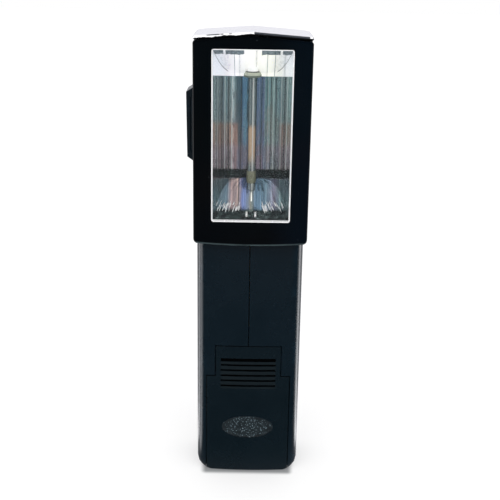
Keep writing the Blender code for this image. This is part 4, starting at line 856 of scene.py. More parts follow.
class Palette:
    """Every finish of the flash, made once and handed out by name."""

    def __init__(self) -> None:
        finishes: list[Finish] = [
            SatinPlastic("satin_shell", "satin_plastic"),
            SatinPlastic("satin_door", "satin_plastic", colour=(0.0022, 0.0072, 0.0112), rub=0.5),
            SatinPlastic("satin_arm", "satin_plastic", roughness=0.30, depth=0.000008),
            SatinPlastic("satin_grip", "satin_plastic", colour=(0.0045, 0.0100, 0.0135), roughness=0.36,
                         rub=0.2),
            # painted shade: a near-black copy of the plastic for the door's grooves, its edges and the seam
            # round it
            SatinPlastic("groove_painted_shade", "satin_plastic", colour=(0.0004, 0.0007, 0.0010), roughness=0.6,
                         rub=0.0, specular=0.04),
            ScuffedOval("scuffed_oval", "satin_plastic"),
            SatinPlastic("scuff_pale", "satin_plastic", colour=(0.17, 0.25, 0.29), roughness=0.5, rub=0.0),
            SatinPlastic("grey_moulded", "grey_plastic", colour=(0.085, 0.085, 0.095), roughness=0.5),
            GlossPlastic("gloss_bezel", "gloss_plastic"),
            GlossPlastic("gloss_button", "gloss_plastic", roughness=0.14, specular=0.5),
            PlatedTop("plated_cap", "bright_trim"),
            Plated("plated_rim", "bright_trim", colour=(0.97, 0.97, 0.98), roughness=0.25, metallic=0.12),
            # painted shade: a darker grey copy of the cap's plating for its rolled sides and back
            Plated("plated_edge_painted_shade", "bright_trim", colour=(0.62, 0.63, 0.66), roughness=0.2, metallic=0.8),
            PlatedFront("plated_front", "bright_trim"),
            FlutedMirror("mirror_trough", "mirror_metal", wall=Wall.TROUGH),
            FlutedMirror("mirror_top", "mirror_metal", wall=Wall.TOP),
            FlutedMirror("mirror_low", "mirror_metal", wall=Wall.LOW),
            ClearPane("lens_clear", "clear_lens", colour=(0.20, 0.22, 0.23), alpha=0.04),
            TubeGlass("tube_clear", "tube_glass"),
            ClearPane("lamp_clear", "tube_glass", colour=(0.85, 0.80, 0.75), alpha=0.45),
            Rubber("seal_grey", "silicone", colour=(0.44, 0.47, 0.38)),
            Rubber("seal_green", "silicone", colour=(0.115, 0.145, 0.115)),
            Rubber("seal_dark", "silicone", colour=(0.030, 0.036, 0.034)),
            # painted glint: a white, nearly non-metal finish for the ribs on the lower wall
            Plated("glint_bright", "mirror_metal", colour=(0.97, 0.98, 0.99), roughness=0.3, metallic=0.1),
            # painted light: the neck glows to read as bright as the white wall behind it
            Plated("neck_bright", "mirror_metal", colour=(0.97, 0.98, 0.97), roughness=0.3, metallic=0.1,
                   glow=0.22),
            Rubber("band_olive", "silicone", colour=(0.150, 0.158, 0.105)),
            BareMetal("steel_tinned", "tinned_steel"),
            BareMetal("plate_anodised", "blank_plate", colour=(0.20, 0.21, 0.225), roughness=0.38,
                      lines=(200.0, 200.0, 7000.0), stain=(0.15, 0.16, 0.17)),
            InnerStuff("sleeve_blue", "cell_sleeve", (0.045, 0.085, 0.21), (0.060, 0.105, 0.25), 0.32),
            InnerStuff("board_brown", "board", (0.24, 0.13, 0.04), (0.30, 0.17, 0.06), 0.5,
                       (2500.0, 2500.0, 300.0)),
            InnerStuff("ferrite_dark", "ferrite", (0.030, 0.028, 0.026), (0.045, 0.042, 0.040), 0.6,
                       (1500.0, 1500.0, 1500.0)),
            InnerStuff("tape_yellow", "winding_tape", (0.55, 0.38, 0.04), (0.66, 0.48, 0.08), 0.42,
                       (60.0, 60.0, 1400.0)),
            InnerStuff("amber_clear", "amber", (0.74, 0.17, 0.012), (0.86, 0.27, 0.03), 0.12,
                       (500.0, 500.0, 500.0), 0.00001),
        ]
        self.finishes = {finish.name: finish for finish in finishes}
        self.made: dict[str, bpy.types.Material] = {}

    def __getitem__(self, name: str) -> bpy.types.Material:
        """The material of a finish, made at its first use."""
        if name not in self.made:
            self.made[name] = self.finishes[name].material()
        return self.made[name]

    def slot(self, name: str) -> str:
        """The record's slot of a finish."""
        return self.finishes[name].slot


PALETTE = Palette()


# ----------------------------------------------------------------- mesh making

def arc(centre: Point, radius: float, start: float, end: float, steps: int) -> list[Point]:
    """Points of an arc, from start to end in degrees."""
    angles = [math.radians(start + (end - start) * step / steps) for step in range(steps + 1)]
    return [(centre[0] + radius * math.cos(a), centre[1] + radius * math.sin(a)) for a in angles]


def spaced(low: float, high: float, pitch: float) -> list[float]:
    """Even levels from low to high, about a pitch apart."""
    count = max(1, round((high - low) / pitch))
    return [low + (high - low) * step / count for step in range(count + 1)]


def smooth_step(value: float, low: float, high: float) -> float:
    """A smooth rise from 0 at low to 1 at high."""
    share = min(1.0, max(0.0, (value - low) / (high - low)))
    return share * share * (3 - 2 * share)


def placed(name: str, data: bpy.types.ID) -> bpy.types.Object:
    """A new object in the scene.

    Args:
        name: Its name.
        data: Its mesh or camera.

    Returns:
        The object.
    """
    made = bpy.data.objects.new(name, data)
    bpy.context.scene.collection.objects.link(made)
    return made


class Mesh:
    """A mesh in the making, in millimetres in the part's frame."""

    def __init__(self) -> None:
        self.bm = bmesh.new()

    def loop(self, points: Iterable[Spot]) -> list[bmesh.types.BMVert]:
        """New vertices at points in millimetres."""
        return [self.bm.verts.new(Vector(point) * MM) for point in points]

    def bridge(self, near: list, far: list, closed: bool = True, slot: int = 0) -> None:
        """Quads between two rows of vertices.

        Args:
            near: First row.
            far: Second row.
            closed: Whether the rows close on themselves.
            slot: Material slot of the quads.
        """
        count = len(near)
        for index in range(count if closed else count - 1):
            after = (index + 1) % count
            self.face((near[index], near[after], far[after], far[index]), slot)

    def face(self, corners: Sequence[bmesh.types.BMVert], slot: int = 0) -> None:
        """One face, without corners that repeat.

        Args:
            corners: Its corners in order.
            slot: Its material slot.
        """
        kept = list(dict.fromkeys(corners))
        if len(kept) > 2:
            self.bm.faces.new(kept).material_index = slot

    def loft(self, loops: list[list[Spot]], ring: bool = False, caps: bool = False) -> list[list]:
        """Skin through loops of equal count.

        Args:
            loops: The loops.
            ring: Whether the last is joined to the first.
            caps: Whether the first and the last are closed by a face.

        Returns:
            The rows of vertices.
        """
        rows = [self.loop(points) for points in loops]
        for near, far in zip(rows, rows[1:]):
            self.bridge(near, far)
        if ring:
            self.bridge(rows[-1], rows[0])
        if caps:
            self.face(rows[0])
            self.face(rows[-1])
        return rows

    def turned(self, centre: Point, profile: list[Point], steps: int, ring: bool = False) -> None:
        """A turned form that stands upright.

        Args:
            centre: Its axis in plan.
            profile: Its radii and levels.
            steps: Steps round it.
            ring: Whether the profile closes on itself round a bore.
        """
        loops = []
        for radius, level in profile:
            circle = arc(centre, radius, 0, 360, steps)[:-1]
            loops.append([(x, y, level) for x, y in circle])
        self.loft(loops, ring, not ring)

    def block(self, low: Spot, high: Spot, slot: int = 0) -> None:
        """A box between two corners.

        Args:
            low: Its left, front and lower corner.
            high: Its right, rear and upper corner.
            slot: Its material slot.
        """
        plan = ((low[0], low[1]), (high[0], low[1]), (high[0], high[1]), (low[0], high[1]))
        rows = [self.loop([(x, y, z) for x, y in plan]) for z in (low[2], high[2])]
        self.bridge(*rows, slot=slot)
        self.face(rows[0], slot)
        self.face(rows[1], slot)

    def piece(self, name: str, finishes: Sequence[str], turn_out: bool = True) -> bpy.types.Object:
        """The finished object.

        Args:
            name: Its name.
            finishes: Names of its finishes, one for each slot used.
            turn_out: Whether the faces are turned outward.

        Returns:
            The object, in the scene.
        """
        if turn_out:
            bmesh.ops.recalc_face_normals(self.bm, faces=self.bm.faces)
        data = bpy.data.meshes.new(name)
        self.bm.to_mesh(data)
        self.bm.free()
        for finish in finishes:
            data.materials.append(PALETTE[finish])
        return placed(name, data)

    def fitted(self, name: str, finishes: Sequence[str], angle: float, node: str) -> None:
        """The finished object shaded smooth, riding on the body in place of a node.

        Args:
            name: Its name.
            finishes: Names of its finishes; the first is handed on to settle.
            angle: Edges sharper than this, in degrees, stay sharp.
            node: The CAD node it replaces.
        """
        piece = self.piece(name, finishes)
        rounded(piece, 0.0, angle)
        settle(piece, "body", finishes[0], node)


def apply_modifiers(piece: bpy.types.Object) -> None:
    """Turn a piece's modifiers into plain mesh and take them off.

    Args:
        piece: The piece.
    """
    graph = bpy.context.evaluated_depsgraph_get()
    result = bpy.data.meshes.new_from_object(piece.evaluated_get(graph), depsgraph=graph)
    piece.modifiers.clear()
    old = piece.data
    piece.data = result
    result.name = piece.name
    bpy.data.meshes.remove(old)


def rounded(piece: bpy.types.Object, width: float, angle: float = 40.0) -> None:
    """Round a piece's sharp edges and shade it smooth, its flat faces staying flat.

    Args:
        piece: The piece.
        width: Width of the rounding in millimetres; 0 leaves the edges sharp.
        angle: Edges sharper than this, in degrees, are rounded.
    """
    if width > 0:
        bevel = piece.modifiers.new("bevel", "BEVEL")
        bevel.width = width * MM
        bevel.segments = 3
        bevel.limit_method = "ANGLE"
        bevel.angle_limit = math.radians(angle)
        bevel.use_clamp_overlap = True
        bevel.miter_outer = "MITER_ARC"
        apply_modifiers(piece)
    piece.data.shade_smooth()
    piece.data.set_sharp_from_angle(angle=math.radians(angle))
    weighted = piece.modifiers.new("weighted", "WEIGHTED_NORMAL")
    weighted.keep_sharp = True
    weighted.weight = 80
    apply_modifiers(piece)


def settle(piece: bpy.types.Object, body: str, finish: str, *nodes: str) -> bpy.types.Object:
    """Let a piece ride on its body and stand for the nodes it replaces.

    Args:
        piece: The piece.
        body: Name of the body.
        finish: Its finish, whose slot of the record is looked up but not kept.
        nodes: The CAD nodes it replaces.

    Returns:
        The piece.
    """
    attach(piece, body)
    if nodes:
        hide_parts(*nodes)
    PALETTE.slot(finish)
    LOG.info("%s: %d faces on %s", piece.name, len(piece.data.polygons), body)
    return piece


def own_copy(node: str, name: str, finish: str, width: float, angle: float = 40.0) -> bpy.types.Object:
    """A merged copy of a CAD node with rounded edges.

    Args:
        node: The CAD node.
        name: Name of the copy.
        finish: Its finish.
        width: Width of the rounding in millimetres.
        angle: Edges sharper than this, in degrees, are rounded.

    Returns:
        The copy.
    """
    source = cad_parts[node]
    bm = bmesh.new()
    bm.from_mesh(source.data)
    bm.transform(source.matrix_world)
    bmesh.ops.remove_doubles(bm, verts=bm.verts, dist=2e-6)
    bmesh.ops.dissolve_degenerate(bm, edges=bm.edges, dist=1e-6)
    bmesh.ops.dissolve_limit(bm, angle_limit=math.radians(0.5), verts=bm.verts, edges=bm.edges)
    data = bpy.data.meshes.new(name)
    bm.to_mesh(data)
    bm.free()
    data.materials.append(PALETTE[finish])
    made = placed(name, data)
    rounded(made, width, angle)
    return made


def frame_outline(half: float, low: float, high: float, corners: Point,
                  sag: float = 0.0, rise: float = 0.0) -> list[Point]:
    """A four-sided outline with round corners, a sagging base and a gabled top.

    Args:
        half: Half its width.
        low: Its base at the corners.
        high: Its top at the corners.
        corners: Radii of the lower and the upper corners.
        sag: How far the base sags at its middle.
        rise: How far the top rises at its middle.

    Returns:
        The points as (x, z), counter-clockwise seen from the front.
    """
    turn, along, up = 8, 24, 12
    low_r, top_r = corners
    points = arc((-half + low_r, low + low_r), low_r, 180, 270, turn)
    span = half - low_r
    for step in range(1, along):
        x = span * (2 * step / along - 1)
        points.append((x, low - sag * (1 - (x / span) ** 2)))
    points += arc((half - low_r, low + low_r), low_r, 270, 360, turn)
    points += [(half, low + low_r + (high - top_r - low - low_r) * step / up) for step in range(1, up)]
    points += arc((half - top_r, high - top_r), top_r, 0, 90, turn)
    span = half - top_r
    for step in range(1, along):
        x = span * (1 - 2 * step / along)
        points.append((x, high + rise * (1 - abs(x) / span)))
    points += arc((-half + top_r, high - top_r), top_r, 90, 180, turn)
    points += [(-half, high - top_r - (high - top_r - low - low_r) * step / up) for step in range(1, up)]
    return points


def standing(outline: Iterable[Point], y: float) -> list[Spot]:
    """An (x, z) outline set up at a depth."""
    return [(x, y, z) for x, z in outline]


@dataclass
class Strewn:
    """Small grains laid over a patch by Geometry Nodes, in millimetres and degrees."""

    name: str
    body: str
    finish: str
    density: float
    small: Spot
    large: Spot
    slope: float
    lean: float
    wobble: float
    seed: int

    def inputs(self) -> dict[str, tuple[str, object]]:
        """The tree's named inputs.

        Returns:
            The type and the value of each, by name.
        """
        return {
            "Density": ("NodeSocketFloat", self.density / MM**2),
            "Small": ("NodeSocketVector", tuple(v * MM for v in self.small)),
            "Large": ("NodeSocketVector", tuple(v * MM for v in self.large)),
            "Slope": ("NodeSocketFloat", math.radians(self.slope)),
            "Lean": ("NodeSocketFloat", math.radians(self.lean)),
            "Wobble": ("NodeSocketFloat", math.radians(self.wobble)),
            "Seed": ("NodeSocketInt", self.seed),
            "Finish": ("NodeSocketMaterial", PALETTE[self.finish]),
        }

    def tree(self) -> bpy.types.NodeTree:
        """The tree that strews grains over its mesh, leaning inwards on both sides.

        Returns:
            The tree.
        """
        group = bpy.data.node_groups.new(f"{self.name}_tree", "GeometryNodeTree")
        group.interface.new_socket(name="Geometry", in_out="INPUT", socket_type="NodeSocketGeometry")
        group.interface.new_socket(name="Geometry", in_out="OUTPUT", socket_type="NodeSocketGeometry")
        for label, (kind, _) in self.inputs().items():
            group.interface.new_socket(name=label, in_out="INPUT", socket_type=kind)
        shade = Shade(group, "NodeGroupOutput")
        given = shade.node("NodeGroupInput").socket.node
        take = {socket.name: Term(shade, socket) for socket in given.outputs if socket.name}
        points = shade.node("GeometryNodeDistributePointsOnFaces", {"distribute_method": "RANDOM"},
                            {"Mesh": take["Geometry"], "Density": take["Density"], "Seed": take["Seed"]})
        side = shade.split(shade.node("GeometryNodeInputPosition"))[0].math("SIGN")
        chance = shade.node("FunctionNodeRandomValue", {"data_type": "FLOAT"},
                            {2: -1.0, 3: 1.0, "Seed": take["Seed"] + 5.0}, 1)
        turn = shade.node("ShaderNodeCombineXYZ", {},
                          {0: take["Slope"], 2: side * take["Lean"] + chance * take["Wobble"]})
        size = shade.node("FunctionNodeRandomValue", {"data_type": "FLOAT_VECTOR"},
                          {0: take["Small"], 1: take["Large"], "Seed": take["Seed"] + 9.0})
        grain = shade.node("GeometryNodeMeshIcoSphere", {}, {"Radius": 1.0, "Subdivisions": 1})
        laid = shade.node("GeometryNodeInstanceOnPoints", {},
                          {"Points": points, "Instance": grain, "Rotation": turn, "Scale": size})
        real = shade.node("GeometryNodeRealizeInstances", {}, {0: laid})
        dressed = shade.node("GeometryNodeSetMaterial", {}, {"Geometry": real, "Material": take["Finish"]})
        shade.surface(dressed)
        return group

    def lay(self, patch: Mesh) -> bpy.types.Object:
        """Strew the grains over a patch and settle them as one piece.

        Args:
            patch: The patch, which itself doesn't stay.

        Returns:
            The grains.
        """
        piece = patch.piece(self.name, [self.finish])
        strew = piece.modifiers.new("strew", "NODES")
        strew.node_group = self.tree()
        values = {label: value for label, (_, value) in self.inputs().items()}
        for item in strew.node_group.interface.items_tree:
            if item.item_type == "SOCKET" and item.in_out == "INPUT" and item.name in values:
                strew[item.identifier] = values[item.name]
        apply_modifiers(piece)
        piece.data.shade_smooth()
        return settle(piece, self.body, self.finish)


# ---------------------------------------------------------------- the object

@dataclass
class Head:
    """The head's outer pieces: black frame, bright cap, window rim and pane, in millimetres."""

    half: float = 20.5
    base: float = 95.7
    eaves: float = 167.45
    rise: float = 1.5
    sag: float = 0.7
    front: float = -17.0
    plate_back: float = -15.0
    rear: float = -13.5
    wall: float = 1.4
    edge: float = 0.7
    low_corner: float = 1.8
    high_corner: float = 1.2
    window_half: float = 14.1
    window_low: float = 103.9
    window_high: float = 164.6
    window_corner: float = 0.55
    cap_ridge: float = 170.3
    cap_thickness: float = 1.2
    cap_front: float = -16.65
    cap_roll: float = 0.45
    cap_steps: int = 72
    cap_corner: float = 0.9
    cap_front_band: float = 0.3
    cap_shaded_edge_band: float = 0.34
    back: float = 12.5
    back_corner: float = 4.5
    rim_inset: float = 0.05
    rim_corner: float = 0.9
    rim_roll: float = 0.14
    rim_front: float = -16.9
    rim_back: float = -15.15

    def face(self, inset: float) -> list[Point]:
        """Front view of the head drawn in by an inset."""
        corners = (max(self.low_corner - inset, 0.5), max(self.high_corner - inset, 0.4))
        return frame_outline(self.half - inset, self.base + inset, self.eaves - inset, corners,
                             self.sag, self.rise)

    def opening(self, inset: float, corner: float) -> list[Point]:
        """The window opening of some corner radius, drawn in by an inset."""
        radius = max(corner - inset, 0.2)
        return frame_outline(self.window_half - inset, self.window_low + inset,
                             self.window_high - inset, (radius, radius))

    def frame(self) -> None:
        """Black frame with a rolled outer edge and an eased window edge."""
        loops = [standing(self.face(0.0), self.rear)]
        for x, y in arc((self.edge, self.edge), self.edge, 180, 270, 6):
            loops.append(standing(self.face(x), self.front + y))
        for inset, deep in ((-0.18, 0.0), (-0.05, 0.05), (0.0, 0.18), (0.0, self.plate_back - self.front)):
            loops.append(standing(self.opening(inset, self.window_corner), self.front + deep))
        loops.append(standing(self.face(self.wall), self.plate_back))
        loops.append(standing(self.face(self.wall), self.rear))
        mesh = Mesh()
        mesh.loft(loops, ring=True)
        mesh.fitted("head_frame", ["gloss_bezel"], 50.0, "front_bezel")

    def cap_height(self, x: float) -> float:
        """Height of the cap's top at a distance from the middle."""
        return self.cap_ridge - self.rise * (math.hypot(x, 0.5) - 0.4) / self.half

    def cap_outline(self, inset: float, drop: float) -> list[Spot]:
        """Outline of the cap, its columns the same in front and behind.

        Args:
            inset: How far its plan is drawn in.
            drop: How far it lies below the cap's top.

        Returns:
            The points, along the front and back again behind.
        """
        half, corner = self.half - inset, self.back_corner - inset
        small = max(self.cap_corner - inset, 0.3)
        front, back = [], []
        for step in range(self.cap_steps + 1):
            x = half * math.sin(math.radians(90 * (2 * step / self.cap_steps - 1)))
            z = self.cap_height(x) - drop
            over = max(0.0, abs(x) - (half - small))
            front.append((x, self.cap_front + inset + small - math.sqrt(max(0.0, small**2 - over**2)), z))
            over = max(0.0, abs(x) - (half - corner))
            back.append((x, self.back - inset - corner + math.sqrt(max(0.0, corner**2 - over**2)), z))
        return front + back[::-1]

    def inward(self, spot: Vector) -> float:
        """How far a place lies inside the cap's sides and back."""
        across = abs(spot.x) - (self.half - self.back_corner)
        deep = spot.y - (self.back - self.back_corner)
        return self.back_corner - math.hypot(max(across, 0.0), max(deep, 0.0))

    def cap(self) -> None:
        """Bright gabled cap with a rolled edge, painted grey as shade along its sides and back."""
        rows = [(0.25, self.cap_thickness), (0.0, self.cap_thickness - 0.2)]
        rows += [(x, -y) for x, y in arc((self.cap_roll, -self.cap_roll), self.cap_roll, 180, 90, 6)]
        mesh = Mesh()
        made = mesh.loft([self.cap_outline(inset, drop) for inset, drop in rows])
        for row in (made[0], made[-1]):
            for index in range(len(row) // 2 - 1):
                mesh.face((row[index], row[index + 1], row[-2 - index], row[-1 - index]))
        # painted shade: faces near the cap's sides and back take the darker grey copy of the plating
        _, shaded_edge_slot, front_slot = range(3)
        for face in mesh.bm.faces:
            middle = face.calc_center_median() / MM
            if middle.y < self.cap_front + self.cap_front_band and abs(middle.x) < self.half - 0.2:
                face.material_index = front_slot
            elif self.inward(middle) < self.cap_shaded_edge_band:
                face.material_index = shaded_edge_slot
        mesh.fitted("head_cap", ["plated_cap", "plated_edge_painted_shade", "plated_front"], 60.0, "top_cap")

    def rim(self) -> None:
        """Thin bright rim of the window with a rolled front edge."""
        loops = [standing(self.opening(self.rim_inset, self.window_corner), self.rim_back)]
        for x, y in arc((self.rim_roll, self.rim_roll), self.rim_roll, 180, 360, 8):
            loops.append(standing(self.opening(self.rim_inset + x, self.rim_corner), self.rim_front + y))
        for inset, y in ((0.42, -15.7), (0.5, -15.65), (0.5, self.rim_back)):
            loops.append(standing(self.opening(inset, self.rim_corner), y))
        mesh = Mesh()
        mesh.loft(loops, ring=True)
        mesh.fitted("window_frame_bright", ["plated_rim"], 50.0, "window_rim")

    def pane(self) -> None:
        """Clear pane behind the rim."""
        rows = ((0.70, -16.65), (0.58, -16.55), (0.58, -15.75))
        mesh = Mesh()
        mesh.loft([standing(self.opening(inset, self.rim_corner), y) for inset, y in rows], caps=True)
        mesh.fitted("window_pane", ["lens_clear"], 30.0, "window_lens")

    def build(self) -> None:
        """Make all the head's outer pieces."""
        self.frame()
        self.cap()
        self.rim()
        self.pane()


@dataclass
class Light:
    """Reflector, tube, seals and band, in millimetres."""

    half: float = 13.6
    vertex: float = 0.8
    front: float = -14.1
    power: float = 4.5
    trough: Point = (116.1, 154.2)
    mouth: Point = (104.4, 164.1)
    wall: float = 0.5
    flute_width: Point = (0.35, 1.1)
    flute_depth: float = 0.035
    sway: float = 0.012
    rows: int = 18
    wall_columns: int = 26
    ripple: float = 0.05
    tube_radius: float = 1.5
    tube_y: float = -2.3
    tube: Point = (110.5, 159.4)
    round_steps: int = 40
    seal_radius: float = 3.2
    top_seal: Point = (153.6, 158.9)
    top_seal_colours: Spot = (154.35, 155.40, 155.66)
    dome_base: float = 154.05
    dome_rise: float = 1.6
    neck_base: float = 155.75
    low_seal: Point = (111.1, 116.1)
    band_radius: float = 1.78
    band_level: float = 117.3
    band_half: float = 2.3
    glint_x: Point = (3.9, 12.7)
    glint_y: Point = (-10.8, -8.4)
    seed: int = 11

    def share(self, y: float) -> float:
        """0 at the back of the trough, 1 at its mouth."""
        return (self.vertex - y) / (self.vertex - self.front)

    def slope(self) -> float:
        """How steeply the lower end wall falls towards the window."""
        return (self.trough[0] - self.mouth[0]) / (self.vertex - self.front)

    def low_wall(self, y: float) -> float:
        """Level of the lower end wall at a depth."""
        return self.trough[0] - (self.vertex - y) * self.slope()

    def columns(self) -> list[Point]:
        """Plan (x, y) of the trough's flutes.

        Returns:
            The points, from left to right.
        """
        chance = random.Random(self.seed)
        fine = 4000
        path = []
        for step in range(-fine, fine + 1):
            x = self.half * step / fine
            path.append((x, self.vertex - (self.vertex - self.front) * abs(x / self.half) ** self.power))
        points = [path[0]]
        walked, goal = 0.0, chance.uniform(*self.flute_width)
        for before, here in zip(path, path[1:]):
            walked += math.dist(before, here)
            if walked >= goal:
                depth = chance.uniform(-self.flute_depth, self.flute_depth)
                run = Vector((here[0] - before[0], here[1] - before[1])).normalized()
                points.append((here[0] - run.y * depth, here[1] + run.x * depth))
                walked, goal = 0.0, chance.uniform(*self.flute_width)
        points[-1] = path[-1]
        return points

    def reflector(self) -> None:
        """Fluted trough between two end walls, drawn back to the sheet's thickness."""
        mesh = Mesh()
        plan = self.columns()
        chance = random.Random(self.seed + 1)
        sway = [[chance.uniform(-self.sway, self.sway) for _ in plan] for _ in range(self.rows + 1)]
        grid = []
        for row in range(self.rows + 1):
            line = []
            for index, (x, y) in enumerate(plan):
                share = self.share(min(y, self.vertex))
                low = self.trough[0] + (self.mouth[0] - self.trough[0]) * share
                high = self.trough[1] + (self.mouth[1] - self.trough[1]) * share
                bend = 0.0 if row in (0, self.rows) else sway[row][index]
                line.append((x, y + bend, low + (high - low) * row / self.rows))
            grid.append(mesh.loop(line))
        for near, far in zip(grid, grid[1:]):
            mesh.bridge(near, far, closed=False, slot=Wall.TROUGH.value)
        self.end_wall(mesh, grid[0], Wall.LOW, -1)
        self.end_wall(mesh, grid[-1], Wall.TOP, 1)
        piece = mesh.piece("reflector_fluted", ["mirror_trough", "mirror_top", "mirror_low"], turn_out=False)
        self.face_front(piece)
        solid = piece.modifiers.new("wall", "SOLIDIFY")
        solid.thickness = self.wall * MM
        solid.offset = -1.0
        apply_modifiers(piece)
        piece.data.shade_flat()
        settle(piece, "body", "mirror_trough", "reflector")

    def end_wall(self, mesh: Mesh, edge: list, wall: Wall, up: int) -> None:
        """A flared end wall, as rows across from the left half of the trough's edge to its right half.

        Args:
            mesh: The mesh it goes into.
            edge: Vertices of the trough's end, from left to right.
            wall: Which wall it is.
            up: 1 for the upper wall, -1 for the lower.
        """
        count, across = len(edge), self.wall_columns
        rows = count // 2
        chance = random.Random(self.seed + 2 + up)
        ripple = [chance.uniform(-self.ripple, self.ripple) for _ in range(across + 1)]
        before = None
        for row in range(rows):
            left, right = edge[row], edge[count - 1 - row]
            fade = min(1.0, row / 3)
            line = [left]
            for step in range(1, across):
                spot = left.co.lerp(right.co, step / across)
                line.append(mesh.bm.verts.new(spot + Vector((0.0, 0.0, ripple[step] * fade * MM))))
            line.append(right)
            if before is not None:
                mesh.bridge(before, line, closed=False, slot=wall.value)
            before = line
        if count % 2:
            middle = edge[rows]
            for near, far in zip(before, before[1:]):
                mesh.face((near, far, middle), wall.value)

    @staticmethod
    def face_front(piece: bpy.types.Object) -> None:
        """Turn the sheet's faces so that they look out of the window.

        Args:
            piece: The sheet.
        """
        bm = bmesh.new()
        bm.from_mesh(piece.data)
        bmesh.ops.remove_doubles(bm, verts=bm.verts, dist=1e-7)
        bmesh.ops.recalc_face_normals(bm, faces=bm.faces)
        lean = sum(face.normal.y * face.calc_area() for face in bm.faces)
        if lean > 0:
            bmesh.ops.reverse_faces(bm, faces=bm.faces)
        bm.to_mesh(piece.data)
        bm.free()

    def glass(self) -> None:
        """Flash tube with round ends."""
        radius = self.tube_radius
        ends = ((self.tube[0] + radius, -86.0), (self.tube[1] - radius, 0.0))
        profile = [(radius * math.cos(a), level + radius * math.sin(a)) for level, start in ends
                   for a in (math.radians(start + 86 * step / 6) for step in range(7))]
        mesh = Mesh()
        mesh.turned((0.0, self.tube_y), profile, self.round_steps)
        mesh.fitted("tube_glass_body", ["tube_clear"], 60.0, "flash_tube")

    def ring(self, name: str, finishes: list[str], node: str, profile: list[Point],
             under_wall: bool = False, starts: Sequence[float] = ()) -> None:
        """A turned ring on the tube.

        Args:
            name: Its name.
            finishes: Its finishes.
            node: The CAD node it replaces.
            profile: Radii and levels.
            under_wall: Whether its top is cut to lie under the lower wall.
            starts: Levels from which it takes the next finish.
        """
        mesh = Mesh()
        mesh.turned((0.0, self.tube_y), profile, self.round_steps, ring=True)
        if under_wall:
            for vert in mesh.bm.verts:
                vert.co.z = min(vert.co.z, (self.low_wall(vert.co.y / MM) - 0.25) * MM)
        for face in mesh.bm.faces:
            level = face.calc_center_median().z / MM
            face.material_index = sum(level > start for start in starts)
        mesh.fitted(name, finishes, 50.0, node)

    def seals(self) -> None:
        """Upper and lower seals and the olive band."""
        bore, outer = self.tube_radius + 0.05, self.seal_radius
        low, high = self.top_seal
        inner = bore + 0.3
        dome = [(inner + (outer - bore - 0.3) * math.cos(a), self.dome_base + self.dome_rise * math.sin(a))
                for a in (math.radians(9 * step) for step in range(11))]
        profile = [(outer - 0.3, low), (outer - 0.1, low + 0.08), (outer, low + 0.3), *dome,
                   (bore + 0.25, self.neck_base), (bore + 0.25, high - 0.1), (bore + 0.2, high),
                   (bore, high - 0.1), (bore, low + 0.1), (bore + 0.2, low)]
        # painted shade: the dome's top edge takes the dark seal finish as a dark outline, and the neck glows
        # with painted light
        self.ring("seal_top", ["seal_green", "seal_grey", "seal_dark", "neck_bright"], "tube_seal_upper",
                  profile, starts=self.top_seal_colours)
        low, high = self.low_seal
        profile = [(outer - 0.3, low), (outer - 0.1, low + 0.08), (outer, low + 0.3), (outer, high - 0.3),
                   (outer - 0.1, high - 0.08), (outer - 0.3, high), (2.2, high), (bore + 0.1, high - 0.1),
                   (bore, high - 0.3), (bore, low + 0.3), (2.1, low + 0.25), (2.2, low)]
        self.ring("seal_base", ["seal_dark"], "tube_seal_lower", profile, under_wall=True)
        middle, tall = self.band_level, self.band_half
        profile = [(bore + (self.band_radius - bore) * math.cos(a), middle + tall * math.sin(a))
                   for a in (math.radians(-84 + 14 * step) for step in range(13))]
        profile += [(bore, middle + tall - 0.1), (bore, middle - tall + 0.1)]
        self.ring("band_oval", ["band_olive"], "tube_band", profile)

    def glints(self) -> None:
        """Slanted ribs laid on the lower wall on both sides of the tube, painted bright white as glints."""
        for side in (-1, 1):
            mesh = Mesh()
            ends = sorted(side * x for x in self.glint_x)
            rows = [mesh.loop([(x, y, self.low_wall(y) + 0.06) for x in ends]) for y in self.glint_y]
            mesh.bridge(rows[0], rows[1], closed=False)
            name = "glint_ribs_left" if side < 0 else "glint_ribs_right"
            Strewn(name, "body", "glint_bright", density=0.95, small=(0.07, 0.6, 0.05),
                   large=(0.26, 2.3, 0.10), slope=math.degrees(math.atan(self.slope())),
                   lean=22.0, wobble=14.0, seed=7 + side).lay(mesh)

    def build(self) -> None:
        """Make the reflector and all that it holds."""
        self.reflector()
        self.glass()
        self.seals()
        self.glints()


class DoorSlot(Enum):
    """Material slots of the battery door."""

    PLAIN = 0
    GRIP = 1
    OVAL = 2
    GROOVE = 3


